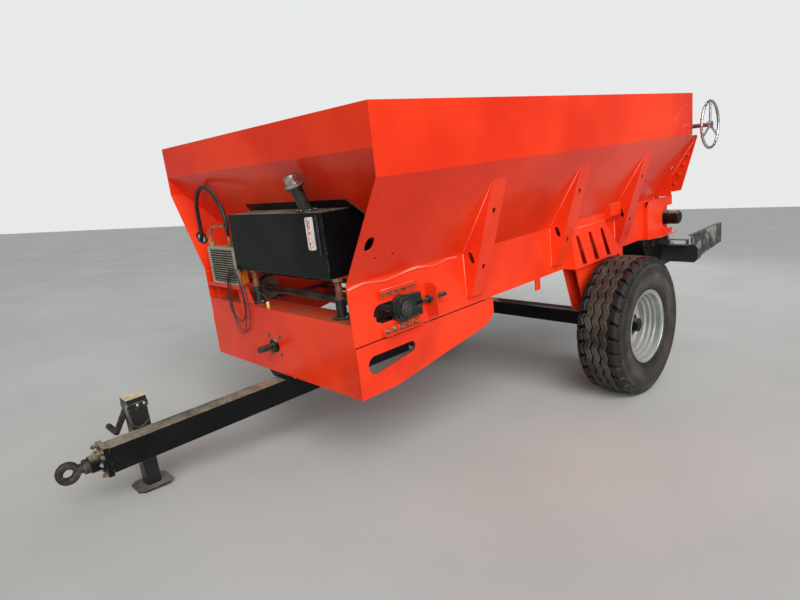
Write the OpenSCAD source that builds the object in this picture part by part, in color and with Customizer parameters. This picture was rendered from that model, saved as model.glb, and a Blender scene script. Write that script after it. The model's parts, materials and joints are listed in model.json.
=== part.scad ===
// Twin-disc manure spreader, parked on its two wheels and its jack.
// The machine is drawn in its own frame: x runs forward from the hopper's front top
// edge, y to the left, and z up from the hopper's rim. parked() then stands it on the floor.

/* [Hopper] */
// Length of the hopper at its rim
hopper_len = 3100; // [2600:10:3800]
// Half of the hopper's width over the upper band
hopper_half = 1000; // [900:5:1150]
// Thickness of the hopper's sheets
wall = 5; // [4:1:8]
// Height of the vertical band along the sides
band_side = 288; // [220:2:340]
// Height of the vertical band across the front
band_front = 174; // [140:2:240]
// Depth below the rim at which the sloping sides turn upright
crease_deep = 745; // [680:5:800]
// Half of the width between the upright lower plates, outside
floor_half = 710; // [640:5:760]
// Depth below the rim of the side plates' lower edge
side_deep = 1035; // [1010:5:1080]
// How far back the sloping front wall reaches
front_run = 453; // [380:1:520]
// Depth below the rim of the front wall's lower edge
front_deep = 790; // [760:5:810]
// Width of the rim's inward lip
rim_lip = 40; // [25:1:60]

/* [Ribs and apron] */
// Width of a side rib along the machine
rib_w = 115; // [90:1:140]
// Distance from one rib to the next
rib_pitch = 830; // [780:5:900]
// Distance from the hopper's front to the first rib
rib_first = 790; // [720:5:860]
// Thickness of the ribs' sheets
rib_t = 4; // [3:1:6]
// Depth below the rim of the apron's dusty ledge
ledge_deep = 927; // [900:1:950]
// Depth below the rim of the apron's lower edge
apron_deep = 1289; // [1240:1:1330]
// Depth of the apron's box along the machine
apron_box = 150; // [110:1:190]
// Thickness of the apron's and the chassis' plates
plate_t = 8; // [6:1:12]

/* [Gate and rear] */
// Half of the width of the rear gate
gate_half = 842; // [800:1:860]
// How far the gate can be lifted
gate_lift = 300; // [200:10:330]
// Radius of the handwheel's rim
hand_r = 176; // [150:1:200]
// Teeth of the gate's pinions
pinion_teeth = 14; // [13:1:18]
// Module of the gate's pinions and racks
gear_module = 5; // [4:0.5:6]

/* [Wheels] */
// Radius of the tyres over their tread
tyre_r = 467; // [440:1:490]
// Width of the tyres
tyre_w = 315; // [290:1:330]
// Half of the width over both tyres
tyre_out = 1105; // [1095:1:1150]
// Radius of the rims' flanges
rim_r = 246; // [235:1:255]
// Distance from the hopper's front back to the axle
axle_back = 2150; // [2050:5:2250]
// Depth of the axle below the hopper's rim
axle_deep = 1485; // [1470:1:1510]
// Side of the square axle beam
beam = 100; // [80:5:110]

/* [Drawbar and jack] */
// Height of the drawbar
bar_high = 120; // [100:1:140]
// Width of the drawbar
bar_wide = 100; // [90:1:130]
// How far the drawbar's front plate stands ahead of the hopper
bar_front = 950; // [850:5:1050]
// Radius of the hole in the tow eye
eye_hole_r = 22; // [18:0.5:26]
// Outer radius of the tow eye
eye_r = 50; // [46:1:60]
// Side of the jack's square outer tube
jack_side = 84; // [76:1:90]
// How far the jack's centre stands ahead of the hopper
jack_ahead = 740; // [600:5:800]

/* [Spinners] */
// Radius of a spinner disc
disc_r = 320; // [300:5:335]
// Distance of each disc's centre from the middle
disc_y = 350; // [345:5:370]
// Number of vanes on a disc
vane_count = 6; // [4:1:8]

/* [Stance] */
// How far the parked machine leans nose-down, in degrees
nose_down = 6.2; // [4:0.1:8]

/* [Hidden] */
$fn = 48;

paint = "#d93a1e";
black = "#17181a";
iron = "#1f3b2d";
bare = "#5a4a3e";

// Small distances shared by many pieces: a running gap, and the lap of one cut past a face
run = 0.3;
cut = 1;

// Widths of the slope, from the band's foot down to the crease
slope_in = hopper_half - floor_half;
slope_down = crease_deep - band_side;
slope_angle = atan(slope_in / slope_down);
function side_y(deep) =
  deep <= band_side ? hopper_half
  : deep >= crease_deep ? floor_half
  : hopper_half - slope_in * (deep - band_side) / slope_down;
function front_x(deep) =
  deep <= band_front ? 0 : -front_run * (deep - band_front) / (front_deep - band_front);

// A folded sheet: the path is its outer face, and the inner face is mitred at each bend
function unit(v) = v / norm(v);
function left_of(v) = [-v[1], v[0]];
function bend(a, b, c) =
  let (u = unit(b - a), w = unit(c - b)) (left_of(u) + left_of(w)) / (1 + u * w);
function inner_path(p, t) = [
  for (i = [0:len(p) - 1])
    i == 0 ? p[0] + t * left_of(unit(p[1] - p[0]))
    : i == len(p) - 1 ? p[i] + t * left_of(unit(p[i] - p[i - 1]))
    : p[i] + t * bend(p[i - 1], p[i], p[i + 1])
];
function reversed(p) = [for (i = [len(p) - 1:-1:0]) p[i]];
function flipped(p) = [for (q = reversed(p)) [-q[0], q[1]]];
module folded(path, t) polygon(concat(path, reversed(inner_path(path, t))));

module along_x(x0, x1) translate([x0, 0, 0]) rotate([90, 0, 90]) linear_extrude(x1 - x0) children();
module along_y(y0, y1) translate([0, y1, 0]) rotate([90, 0, 0]) linear_extrude(y1 - y0) children();
module along_z(z0, z1) translate([0, 0, z0]) linear_extrude(z1 - z0) children();
module box(low, high) translate(low) cube(high - low);
module rod_x(x0, x1, r) translate([x0, 0, 0]) rotate([0, 90, 0]) cylinder(h = x1 - x0, r = r);
module rod_y(y0, y1, r) translate([0, y1, 0]) rotate([90, 0, 0]) cylinder(h = y1 - y0, r = r);
// A flat bar with round ends from one point to another, or tapered between two radii
module bar_2d(a, b, ra, rb) {
  d = unit(b - a);
  k = (ra - rb) / norm(b - a);
  up = left_of(d) * sqrt(1 - k * k) + d * k;
  down = -left_of(d) * sqrt(1 - k * k) + d * k;
  translate(a) circle(ra);
  translate(b) circle(rb);
  polygon([a + ra * up, b + rb * up, b + rb * down, a + ra * down]);
}
module slot_2d(length, r) bar_2d([-length / 2 + r, 0], [length / 2 - r, 0], r, r);
module both_sides() {
  children();
  mirror([0, 1, 0]) children();
}

// The stance: the axle stands at the tyres' radius, and everything leans about it
bar_top_deep = 1322;
bar_mid_deep = bar_top_deep + bar_high / 2;
flap_top_deep = 1055;
flap_foot_deep = 1218;
rear_end = -hopper_len - 760;
eye_x = bar_front + 140;
function tilted_x(x, z) = (x + axle_back) * cos(nose_down) + (z + axle_deep) * sin(nose_down);
mid_x = (tilted_x(eye_x, -bar_mid_deep) + eye_r + tilted_x(rear_end, -flap_foot_deep)) / 2;
module parked()
  translate([-mid_x, 0, tyre_r])
    rotate([0, nose_down, 0])
      translate([axle_back, 0, axle_deep])
        children();

// Hopper sides: lip, band, slope and upright lower plate, with the holes in the cheek
foot_lip = 35;
side_path = [
  [hopper_half - rim_lip, 0], [hopper_half, 0], [hopper_half, -band_side], [floor_half, -crease_deep],
  [floor_half, -side_deep], [floor_half - foot_lip, -side_deep]
];
// The strip behind the rear panel starts under the band
rear_strip = 100;
strip_top = band_side + 12;
rear_path = [
  [side_y(strip_top), -strip_top], [floor_half, -crease_deep], [floor_half, -side_deep],
  [floor_half - foot_lip, -side_deep]
];
// Slot for the gate in the slope: depths of its top and foot, and its width
gate_slot_top = 512;
gate_slot_foot = crease_deep - 1;
gate_slot_wide = 22;
// Holes in the cheek: how far back and how deep
cheek_hole = [-68, 566];
small_holes = [[-130, 640], [-236, 640]];
module on_slope(x, deep)
  translate([x, side_y(deep), -deep]) rotate([-90 - slope_angle, 0, 0]) children();
module hopper_side() difference() {
  union() {
    along_x(-hopper_len, 0) folded(side_path, -wall);
    along_x(-hopper_len - rear_strip, -hopper_len) folded(rear_path, -wall);
  }
  // The foot's lip stops behind the apron, and the rim's lip is mitred at the corners
  box([-apron_box - 10, floor_half - foot_lip - cut, -side_deep - cut], [cut, floor_half - wall, -side_deep + wall + cut]);
  on_slope(cheek_hole[0], cheek_hole[1]) translate([0, 0, -20])
    linear_extrude(40) rotate(90) slot_2d(72, 25);
  for (hole = small_holes)
    on_slope(hole[0], hole[1]) translate([0, 0, -20]) cylinder(h = 40, r = 7.5);
  box([gate_x - gate_slot_wide / 2, floor_half - 20, -gate_slot_foot],
      [gate_x + gate_slot_wide / 2, hopper_half + cut, -gate_slot_top]);
  // Long opening for the take-up of the front roller
  along_y(floor_half - 20, floor_half + cut) bar_2d([-roller_x + 120, -roller_deep], [-roller_x - 90, -roller_deep], 47, 47);
}
module hopper_side_left() color(paint) parked() hopper_side();
module hopper_side_right() color(paint) parked() mirror([0, 1, 0]) hopper_side();

// The space between the side sheets, for panels that reach across it
module inside_section() {
  inner = inner_path(side_path, -wall);
  near = concat([[hopper_half - rim_lip, 0]], [for (i = [0:len(inner) - 2]) inner[i]]);
  polygon(concat(near, flipped(near)));
}
front_tail = 22;
module hopper_front() color(paint) parked() intersection() {
  along_y(-hopper_half, hopper_half)
    folded([[-rim_lip, 0], [0, 0], [0, -band_front], [-front_run, -front_deep], [-front_run, -front_deep - front_tail]], -wall);
  along_x(-front_run - 50, 1) inside_section();
}
// Fixed upper rear panel, folded at its top and its foot
rear_panel_deep = 450;
module hopper_rear() color(paint) parked() intersection() {
  along_y(-hopper_half, hopper_half) translate([-hopper_len, 0])
    folded([[rim_lip, 0], [0, 0], [0, -rear_panel_deep], [35, -rear_panel_deep]], wall);
  along_x(-hopper_len - cut, -hopper_len + 60) inside_section();
}
// Floor sheet under the conveyor's upper run, on its channels
roller_x = 300;
rear_roller_x = hopper_len + 150;
roller_deep = 918;
loop_r = 78;
chain_half = 8;
floor_deep = roller_deep - loop_r + chain_half + run;
gate_x = -hopper_len - 8;
shaft_r = 25;
module hopper_floor() color(paint) parked()
  box([-rear_roller_x + 95, -floor_half + wall, -floor_deep - wall], [-roller_x - 95, floor_half - wall, -floor_deep]);
// Channels between the side plates, under the floor sheet and above the chains' return
member = 60;
members = 6;
member_wall = 6;
module cross_members() color(paint) parked() {
  for (i = [1:members])
    translate([-roller_x - i * (rear_roller_x - roller_x) / (members + 1) + member / 2, 0, 0])
      along_y(-floor_half + wall, floor_half - wall)
        folded([[0, -floor_deep - wall - member], [0, -floor_deep - wall], [-member, -floor_deep - wall],
                [-member, -floor_deep - wall - member]], member_wall);
  // Cross beam that carries the drawbar's tail, between the bolted plates
  along_y(-floor_half, floor_half) difference() {
    translate([tail_x - 80, -beam_foot_deep]) square([80, 70]);
    translate([tail_x - 80 + member_wall, -beam_foot_deep + member_wall]) square([80 - 2 * member_wall, 70 - 2 * member_wall]);
  }
}
beam_foot_deep = 1170;
tail_x = -850;

// Side ribs: folded channels on the slope and the upright plate, with an oval hole in the
// webs and two tick-shaped slots in the outer face
rib_top = 377;
rib_foot = 990;
rib_stand = 35;
rib_a = [side_y(rib_top), -rib_top];
rib_b = [floor_half, -crease_deep];
rib_c = [floor_half, -rib_foot];
rib_d = [floor_half + rib_stand, -rib_foot + 8];
rib_dir = unit(rib_d - rib_a);
rib_long = norm(rib_d - rib_a);
rib_lean = atan2(rib_dir[0], -rib_dir[1]);
function off_face(p) = abs((p - rib_a) * left_of(rib_dir));
// One tick: a short stroke forward and a long one back, drawn with the rib's length upward
tick_r = 6;
module tick() {
  bar_2d([0, 0], [-35, 110], tick_r, tick_r);
  bar_2d([0, 0], [28, 48], tick_r, tick_r);
}
module rib(x) difference() {
  along_x(x - rib_w, x) polygon([rib_a, rib_b, rib_c, rib_d]);
  along_x(x - rib_w + rib_t, x - rib_t)
    polygon([rib_a + (rib_b - rib_a) * rib_t / off_face(rib_b), rib_b, rib_c,
             rib_d + (rib_c - rib_d) * rib_t / off_face(rib_c)]);
  along_x(x - rib_w - cut, x + cut)
    bar_2d([floor_half + 48, -crease_deep - 8], [floor_half + 60, -crease_deep - 40], 14, 14);
  for (share = [0.27, 0.755])
    translate([x - rib_w / 2, (rib_a + rib_dir * rib_long * share)[0], (rib_a + rib_dir * rib_long * share)[1]])
      rotate([-rib_lean, 0, 0]) along_y(-14, 14) tick();
}
// Small box bracket in the crease, ahead of the last rib
module rib_box() {
  x = -rib_first - 2 * rib_pitch + 140;
  stand = 50;
  outer = [[side_y(690), -690], [floor_half + stand, -700], [floor_half + stand, -775], [floor_half + 30, -800], [floor_half, -800]];
  difference() {
    along_x(x - 150, x) polygon(concat(outer, [[floor_half, -crease_deep]]));
    along_x(x - 150 + rib_t, x - rib_t)
      polygon([[side_y(690) + 8, -696], [floor_half + stand - rib_t, -705], [floor_half + stand - rib_t, -773],
               [floor_half + 28, -796], [floor_half, -796], [floor_half, -crease_deep], [side_y(710), -710]]);
  }
}
module ribs() {
  for (i = [0:2]) rib(-rib_first - i * rib_pitch);
  rib_box();
}
module ribs_left() color(paint) parked() ribs();
module ribs_right() color(paint) parked() mirror([0, 1, 0]) ribs();

// Front apron: a box across the front, with the ledge on top and the drive's hole
apron_half = floor_half - wall;
pto_deep = 1130;
boss_r = 38;
module front_apron() color(paint) parked() difference() {
  along_y(-apron_half, apron_half)
    folded([[-apron_box, -ledge_deep - 30], [-apron_box, -ledge_deep], [0, -ledge_deep], [0, -apron_deep],
            [-apron_box, -apron_deep], [-apron_box, -apron_deep + 60]], -plate_t);
  translate([0, 0, -pto_deep]) rod_x(-30, 10, boss_r + 2);
}

// Chassis sides: the bolted lower plate with its tapered slot, the rails of the take-up
// and its bracket, the tabs under the edge, and the wheel bracket with its leg
seam_deep = side_deep + 5;
skirt_back = 1000;
skirt = [
  [0, -seam_deep], [-skirt_back, -seam_deep], [-skirt_back, -1120], [-skirt_back + 15, -1142],
  [-930, -1180], [-220, -apron_deep], [0, -apron_deep]
];
// The tapered slot: front and rear centre, front and rear radius
slot_front = [-105, -1145];
slot_rear = [-343, -1127];
slot_front_r = 45;
slot_rear_r = 27;
module chassis_side() {
  along_y(floor_half, floor_half + plate_t) difference() {
    polygon(skirt);
    bar_2d(slot_front, slot_rear, slot_front_r, slot_rear_r);
  }
  for (x = [-1460, -2540]) tab(x);
  take_up_guides();
  wheel_bracket();
}
tab_high = 70;
module tab(x) along_y(floor_half - plate_t, floor_half) difference() {
  translate([x - 25, -side_deep - tab_high]) square([50, tab_high]);
  bar_2d([x, -side_deep - 26], [x, -side_deep - 47], 7, 7);
}
// Guides of the take-up: an angle above and one below, with a gusset at the front end,
// and the plate that the threaded rod pulls against
guide_in = 72;
guide_high = 36;
guide_out = 34;
guide_x = [-roller_x - 112, -roller_x + 130];
pull_x = -roller_x - 180;
module take_up_guides() translate([0, floor_half, -roller_deep]) {
  for (side = [-1, 1]) mirror([0, 0, side < 0 ? 1 : 0]) {
    along_x(guide_x[0], guide_x[1])
      folded([[0, guide_in], [0, guide_in + guide_high], [guide_out, guide_in + guide_high]], -6);
    along_x(guide_x[1] - 6, guide_x[1])
      polygon([[6, guide_in], [6, guide_in + guide_high - 6], [guide_out, guide_in + guide_high - 6]]);
    // Small gussets behind the pull plate
    along_z(58, 64) polygon([[pull_x - 6, 0], [pull_x - 54, 0], [pull_x - 6, 70]]);
  }
  difference() {
    along_x(pull_x - 6, pull_x)
      polygon([[0, -82], [64, -82], [79, -67], [79, 67], [64, 82], [0, 82]]);
    translate([0, rod_out, rod_up]) rod_x(pull_x - 7, pull_x + 1, 12);
  }
}
rod_out = 34;
rod_up = 6;
// Wheel bracket: a slanted plate with three arched windows over a flange, closed at its
// ends, with the hollow tapered leg below that stands on the axle beam
bracket_top = 800;
bracket_out = 75;
bracket_half = 310;
leg_in = 50;
leg_out = 50;
flange_deep = side_deep;
flange_t = 8;
// Outline of the slanted plate seen from the side: top corners and lower corners
bracket_shape = [
  [-axle_back + 300, -bracket_top], [-axle_back - 150, -bracket_top],
  [-axle_back - 250, -flange_deep], [-axle_back + 370, -flange_deep]
];
module slanted(t) polygon([
  [floor_half, -bracket_top], [floor_half + t, -bracket_top], [floor_half + bracket_out, -flange_deep],
  [floor_half + bracket_out - t, -flange_deep]]);
module window(x) {
  translate([x, -bracket_top - 62]) circle(22);
  polygon([[x - 22, -bracket_top - 62], [x + 22, -bracket_top - 62], [x + 30, -flange_deep + 6], [x - 30, -flange_deep + 6]]);
}
module wheel_bracket() {
  intersection() {
    along_x(-axle_back - 260, -axle_back + 380) slanted(8);
    along_y(floor_half - cut, floor_half + bracket_out + cut) difference() {
      polygon(bracket_shape);
      for (i = [0:2]) window(-axle_back + 245 - i * 160);
    }
  }
  intersection() {
    along_x(-axle_back - 260, -axle_back + 380)
      polygon([[floor_half, -bracket_top], [floor_half + bracket_out, -flange_deep], [floor_half, -flange_deep]]);
    along_y(floor_half - cut, floor_half + bracket_out + cut) {
      polygon([bracket_shape[0], bracket_shape[0] - [9, 0], bracket_shape[3] - [9, 0], bracket_shape[3]]);
      polygon([bracket_shape[1], bracket_shape[1] + [9, 0], bracket_shape[2] + [9, 0], bracket_shape[2]]);
    }
  }
  difference() {
    box([bracket_shape[2][0], floor_half - leg_in, -flange_deep - flange_t],
        [bracket_shape[3][0], floor_half + bracket_out, -flange_deep]);
    translate([-axle_back - 30, floor_half + 62, -flange_deep - flange_t - cut]) cylinder(h = flange_t + 2 * cut, r = 9);
  }
  leg();
}
// The beam sits a little above the stubs' axis
beam_rise = 12;
beam_top_deep = axle_deep - beam_rise - beam / 2;
leg_shape = [
  [-axle_back + 330, -flange_deep - flange_t], [-axle_back + 232, -1346], [-axle_back + 90, -beam_top_deep],
  [-axle_back - 90, -beam_top_deep], [-axle_back - 232, -1346], [-axle_back - 230, -flange_deep - flange_t]
];
module leg() difference() {
  along_y(floor_half - leg_in, floor_half + leg_out) polygon(leg_shape);
  along_y(floor_half - leg_in + 8, floor_half + leg_out - 8)
    polygon(inner_path(concat(leg_shape, [leg_shape[0]]), 8));
}
module chassis_side_left() color(paint) parked() chassis_side();
module chassis_side_right() color(paint) parked() mirror([0, 1, 0]) chassis_side();

// Place of the gate's cross shaft and its bearings, and the gate's thickness
gate_shaft_deep = 236;
gate_shaft_x = -hopper_len - 95;
gate_shaft_r = 15;
bearing_y = 902;
gate_t = 6;
// Rear frame on each side: the slanted web behind the slope, the bearing plates of the
// gate's cross shaft, the gate's guide, and the folded bracket round the conveyor's drive
web_x = -hopper_len - rear_strip;
web_t = 8;
web_foot = 711;
// The web's outer edge, which leans less than the slope
function web_out(deep) =
  hopper_half - 6 - (deep - strip_top - 14) * (hopper_half - 6 - side_y(web_foot) - 147) / (web_foot - 9 - strip_top - 14);
bracket_y = floor_half + 40;
drive_cut_r = 92;
bracket_end = rear_roller_x + 100;
// The drive bracket's outline with its opening to the rear
module drive_plate() difference() {
  polygon([[-hopper_len + 200, -side_deep], [-hopper_len + 200, -crease_deep - 50], [-hopper_len + 160, -crease_deep - 6],
           [-bracket_end, -crease_deep - 6], [-bracket_end, -side_deep]]);
  bar_2d([-rear_roller_x, -roller_deep], [-bracket_end - drive_cut_r, -roller_deep], drive_cut_r, drive_cut_r);
}
module rear_side() {
  difference() {
    along_x(web_x - web_t, web_x) polygon([
      [side_y(strip_top), -strip_top], [side_y(web_foot), -web_foot], [side_y(web_foot) + 94, -web_foot],
      [web_out(web_foot - 9), -web_foot + 9], [web_out(strip_top + 14), -strip_top - 14]]);
    for (deep = [440, 510, 580, 650])
      translate([0, (side_y(deep) + web_out(deep)) / 2, -deep]) rod_x(web_x - web_t - cut, web_x + cut, 6);
  }
  along_y(bracket_y - 8, bracket_y) drive_plate();
  along_x(-hopper_len + 192, -hopper_len + 200)
    translate([floor_half, -side_deep]) square([bracket_y - 8 - floor_half, side_deep - crease_deep - 50]);
  box([-bracket_end, floor_half, -side_deep], [-hopper_len + 192, bracket_y - 8, -side_deep + 8]);
  box([-bracket_end, floor_half, -crease_deep - 14], [-hopper_len + 155, bracket_y - 8, -crease_deep - 6]);
  // Inner plate behind the hopper's side sheet, with the roller's hole
  difference() {
    box([-bracket_end, floor_half - 8, -side_deep], [web_x, floor_half, -crease_deep - 6]);
    translate([-rear_roller_x, 0, -roller_deep]) rod_y(floor_half - 9, floor_half + 1, 40);
  }
  // Gusset below, like a slanted roof on the plate
  along_z(-side_deep - 8, -side_deep)
    polygon([[-bracket_end + 40, floor_half - 8], [-hopper_len + 200, floor_half - 8], [-hopper_len + 200, bracket_y],
             [-hopper_len + 60, floor_half + 95], [-bracket_end + 40, floor_half + 95]]);
  along_x(-hopper_len - 60, -hopper_len - 52)
    polygon([[bracket_y, -side_deep], [floor_half + 95, -side_deep], [bracket_y, -side_deep + 55]]);
  // Bearing plate of the cross shaft, on a folded foot
  difference() {
    along_y(bearing_y - 6, bearing_y + 6)
      polygon([[-hopper_len, -gate_shaft_deep - 50], [-hopper_len, -gate_shaft_deep + 50], [gate_shaft_x - 18, -gate_shaft_deep + 32],
               [gate_shaft_x - 34, -gate_shaft_deep + 16], [gate_shaft_x - 34, -gate_shaft_deep - 16], [gate_shaft_x - 18, -gate_shaft_deep - 32]]);
    translate([gate_shaft_x, 0, -gate_shaft_deep]) rod_y(bearing_y - 20, bearing_y + 20, gate_shaft_r + 0.05);
  }
  // Guide of the gate: a channel that holds its edge
  difference() {
    box([gate_x - 12, gate_half - 22, -470], [-hopper_len, gate_half + 20, -30]);
    box([gate_x - gate_t / 2 - 1, gate_half - 23, -471], [gate_x + gate_t / 2 + 1, gate_half + 3, -29]);
  }
}
module rear_frame() color(paint) parked() both_sides() rear_side();

// Gate drive: two racks on the gate and two pinions on the cross shaft, with involute
// flanks at 20 degrees. The racks' teeth are cut low so that the pinions need no undercut
pressure = 20;
pinion_r = gear_module * pinion_teeth / 2;
pinion_base_r = pinion_r * cos(pressure);
pinion_tip_r = pinion_r + 0.88 * gear_module;
pinion_root_r = pinion_r - gear_module;
rack_tip = 0.76 * gear_module;
rack_root = 1.2 * gear_module;
tooth_pitch = PI * gear_module;
backlash = 0.6;
tooth_wide = tooth_pitch / 2 - backlash;
function involute(a) = tan(a) - a * PI / 180;
function half_tooth(r) =
  (tooth_wide / 2 / pinion_r + involute(pressure) - (r <= pinion_base_r ? 0 : involute(acos(pinion_base_r / r)))) * 180 / PI;
module pinion_2d() {
  steps = 5;
  radii = concat([pinion_root_r], [for (k = [0:steps]) pinion_base_r + (pinion_tip_r - pinion_base_r) * k / steps]);
  polygon([
    for (i = [0:pinion_teeth - 1], k = [0:2 * len(radii) - 1])
      let (up = k < len(radii), r = up ? radii[k] : radii[2 * len(radii) - 1 - k],
           a = (i + 0.5) * 360 / pinion_teeth + (up ? -1 : 1) * half_tooth(r))
        r * [cos(a), sin(a)]
  ]);
}
gate_top_rest = 380;
rack_y = 480;
rack_foot_deep = 576;
rack_back = gate_x - gate_t / 2;
rack_pitch_x = gate_shaft_x + pinion_r;
// Teeth below and above the shaft's height, one of them level with it
rack_teeth = [-floor((rack_foot_deep - gate_shaft_deep) / tooth_pitch), 2];
module rack_2d() polygon(concat(
  [[rack_back, -gate_shaft_deep + (rack_teeth[1] + 0.5) * tooth_pitch], [rack_back, -gate_shaft_deep + (rack_teeth[0] - 0.5) * tooth_pitch],
   [rack_pitch_x + rack_root, -gate_shaft_deep + (rack_teeth[0] - 0.5) * tooth_pitch]],
  [for (i = [rack_teeth[0]:rack_teeth[1]], k = [0:3])
    let (tip = k == 1 || k == 2, out = tip ? -rack_tip : rack_root,
         half = tooth_wide / 2 + out * tan(pressure))
      [rack_pitch_x + out, -gate_shaft_deep + i * tooth_pitch + (k < 2 ? -half : half)]],
  [[rack_pitch_x + rack_root, -gate_shaft_deep + (rack_teeth[1] + 0.5) * tooth_pitch]]));
gate_foot_deep = roller_deep - loop_r - chain_half - 22;
module gate() color(paint) parked() {
  along_x(gate_x - gate_t / 2, gate_x + gate_t / 2) {
    half_foot = floor_half - 10;
    side_foot = crease_deep - 9;
    polygon([[-half_foot, -gate_foot_deep], [half_foot, -gate_foot_deep], [half_foot, -side_foot], [gate_half, -side_foot],
             [gate_half, -gate_top_rest], [-gate_half, -gate_top_rest], [-gate_half, -side_foot], [-half_foot, -side_foot]]);
  }
  for (y = [-rack_y, rack_y]) along_y(y - 10, y + 10) rack_2d();
  // Stiffening angle along the foot, outside
  along_y(-floor_half + 30, floor_half - 30)
    folded([[rack_back, -gate_foot_deep + 60], [rack_back - 30, -gate_foot_deep + 60], [rack_back - 30, -gate_foot_deep + 25]], 5);
}
module gate_shaft() color("silver") parked() translate([gate_shaft_x, 0, -gate_shaft_deep]) {
  rod_y(-bearing_y - 16, hand_y - 14, gate_shaft_r);
  for (y = [-rack_y, rack_y]) {
    along_y(y - 13, y + 13) pinion_2d();
    rod_y(y + 13, y + 30, 24);
  }
}
hand_y = tyre_out - 18;
// Handwheel: a rim with finger waves, three bars and a hub
grip_r = 11;
waves = 24;
module handwheel() color("silver") parked() translate([gate_shaft_x, hand_y, -gate_shaft_deep]) rotate([90, 0, 0]) {
  rotate_extrude($fn = 96) translate([hand_r - grip_r, 0]) circle(grip_r - 1.5, $fn = 20);
  for (i = [0:waves - 1]) rotate(i * 360 / waves) translate([hand_r - grip_r, 0, 0]) sphere(grip_r, $fn = 14);
  for (i = [0:2]) rotate(90 + i * 120) translate([20, 0, 0]) rotate([0, 90, 0]) cylinder(h = hand_r - 30, r = 8, $fn = 16);
  translate([0, 0, -14]) cylinder(h = 28, r = 26);
}

// Conveyor: two chains in a loop with slats across
chain_y = 520;
slat_half = 15;
slat_high = 14;
slat_gap = 205;
module chain_loop(r) {
  translate([-roller_x, -roller_deep]) circle(r);
  translate([-rear_roller_x, -roller_deep]) circle(r);
  translate([-rear_roller_x, -roller_deep - r]) square([rear_roller_x - roller_x, 2 * r]);
}
module conveyor() color("#6b4b3c") parked() {
  for (y = [-chain_y, chain_y])
    along_y(y - 12, y + 12) difference() {
      chain_loop(loop_r + chain_half);
      chain_loop(loop_r - chain_half);
    }
  slats = floor((rear_roller_x - roller_x - 40) / slat_gap);
  for (i = [0:slats], side = [-1, 1])
    translate([-roller_x - 20 - i * slat_gap, 0, -roller_deep + side * (loop_r + chain_half + run + slat_high / 2)])
      box([-slat_half, -chain_y - 60, -slat_high / 2], [slat_half, chain_y + 60, slat_high / 2]);
}

module roller(x, reach) translate([-x, 0, -roller_deep]) {
  rod_y(-floor_half - reach, floor_half + reach, shaft_r);
  for (y = [-chain_y, chain_y]) rod_y(y - 25, y + 25, loop_r - chain_half - run);
}
module front_roller() color("dimgray") parked() roller(roller_x, 58);
module rear_roller() color("dimgray") parked() roller(rear_roller_x, 80);

// Take-up: cast bearing body between the guides, with its ring, slot, rod and nut
module take_up() translate([-roller_x, floor_half + run, -roller_deep]) {
  difference() {
    union() {
      along_y(0, 34) {
        circle(66);
        translate([-118, -56]) square([118, 112]);
      }
      rod_y(34, 44, 56);
      rod_y(44, 50, 36);
    }
    rod_y(-cut, 60, shaft_r + run);
    along_y(18, 40) bar_2d([-100, 0], [-78, 0], 12, 12);
  }
  translate([0, rod_out - run, rod_up]) {
    rod_x(pull_x + roller_x - 110, -117, 11);
    translate([pull_x + roller_x - 24, 0, 0]) rotate([0, 90, 0]) cylinder(h = 17, r = 21, $fn = 6);
    translate([pull_x + roller_x + 0.5, 0, 0]) rotate([0, 90, 0]) cylinder(h = 16, r = 21, $fn = 6);
  }
}
module take_ups() color(iron) parked() both_sides() take_up();
// Hydraulic motor of the conveyor on its flange, on the left, and the bearing on the right
flange_y = floor_half + run;
module drive_motor() color(black) parked() translate([-rear_roller_x, 0, -roller_deep]) difference() {
  union() {
    along_y(flange_y, flange_y + 16) {
      circle(62);
      bar_2d([-78, 0], [0, 0], 24, 40);
      bar_2d([78, 0], [0, 0], 24, 40);
    }
    rod_y(flange_y + 16, flange_y + 52, 56);
    rod_y(flange_y + 52, flange_y + 58, 48);
    rod_y(flange_y + 58, flange_y + 128, 54);
    rod_y(flange_y + 128, flange_y + 140, 44);
  }
  rod_y(flange_y - cut, flange_y + 90, shaft_r + run);
}
module drive_bearing() color(iron) parked() mirror([0, 1, 0]) translate([-rear_roller_x, 0, -roller_deep]) difference() {
  union() {
    along_y(flange_y, flange_y + 14) {
      circle(62);
      bar_2d([-66, 0], [66, 0], 20, 20);
    }
    rod_y(flange_y + 14, flange_y + 46, 46);
  }
  rod_y(flange_y - cut, flange_y + 60, shaft_r + run);
}

// Axle beam with its stub ends
module axle_beam() color(black) parked() {
  box([-axle_back - beam / 2, -floor_half - 60, -beam_top_deep - beam], [-axle_back + beam / 2, floor_half + 60, -beam_top_deep]);
  both_sides() translate([-axle_back, 0, -axle_deep]) rod_y(floor_half + 50, tyre_mid + 20, stub_r);
}
tyre_mid = tyre_out - tyre_w / 2;
stub_r = 35;

// Tyre: bead, sidewall with its ring, rounded shoulder and tread, in half a section
bead = 122;
seat_r = rim_r - 18;
half_tyre = [
  [seat_r + run, 0], [seat_r + run, bead - 8], [seat_r + 4, bead - 3], [rim_r - 3, bead + 2], [rim_r + 3, bead + 3],
  [rim_r + 12, tyre_w / 2 - 26],
  [rim_r + 30, tyre_w / 2 - 12], [tyre_r * 0.72, tyre_w / 2 - 2], [tyre_r * 0.8, tyre_w / 2], [tyre_r * 0.87, tyre_w / 2 - 6],
  [tyre_r * 0.93, tyre_w / 2 - 16], [tyre_r - 14, tyre_w / 2 - 30], [tyre_r - 5, tyre_w / 2 - 46], [tyre_r, 0]
];
module tyre() translate([-axle_back, tyre_mid, -axle_deep]) rotate([-90, 0, 0]) rotate_extrude($fn = 96)
  polygon(concat(half_tyre, [for (i = [len(half_tyre) - 2:-1:1]) [half_tyre[i][0], -half_tyre[i][1]]]));
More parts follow.
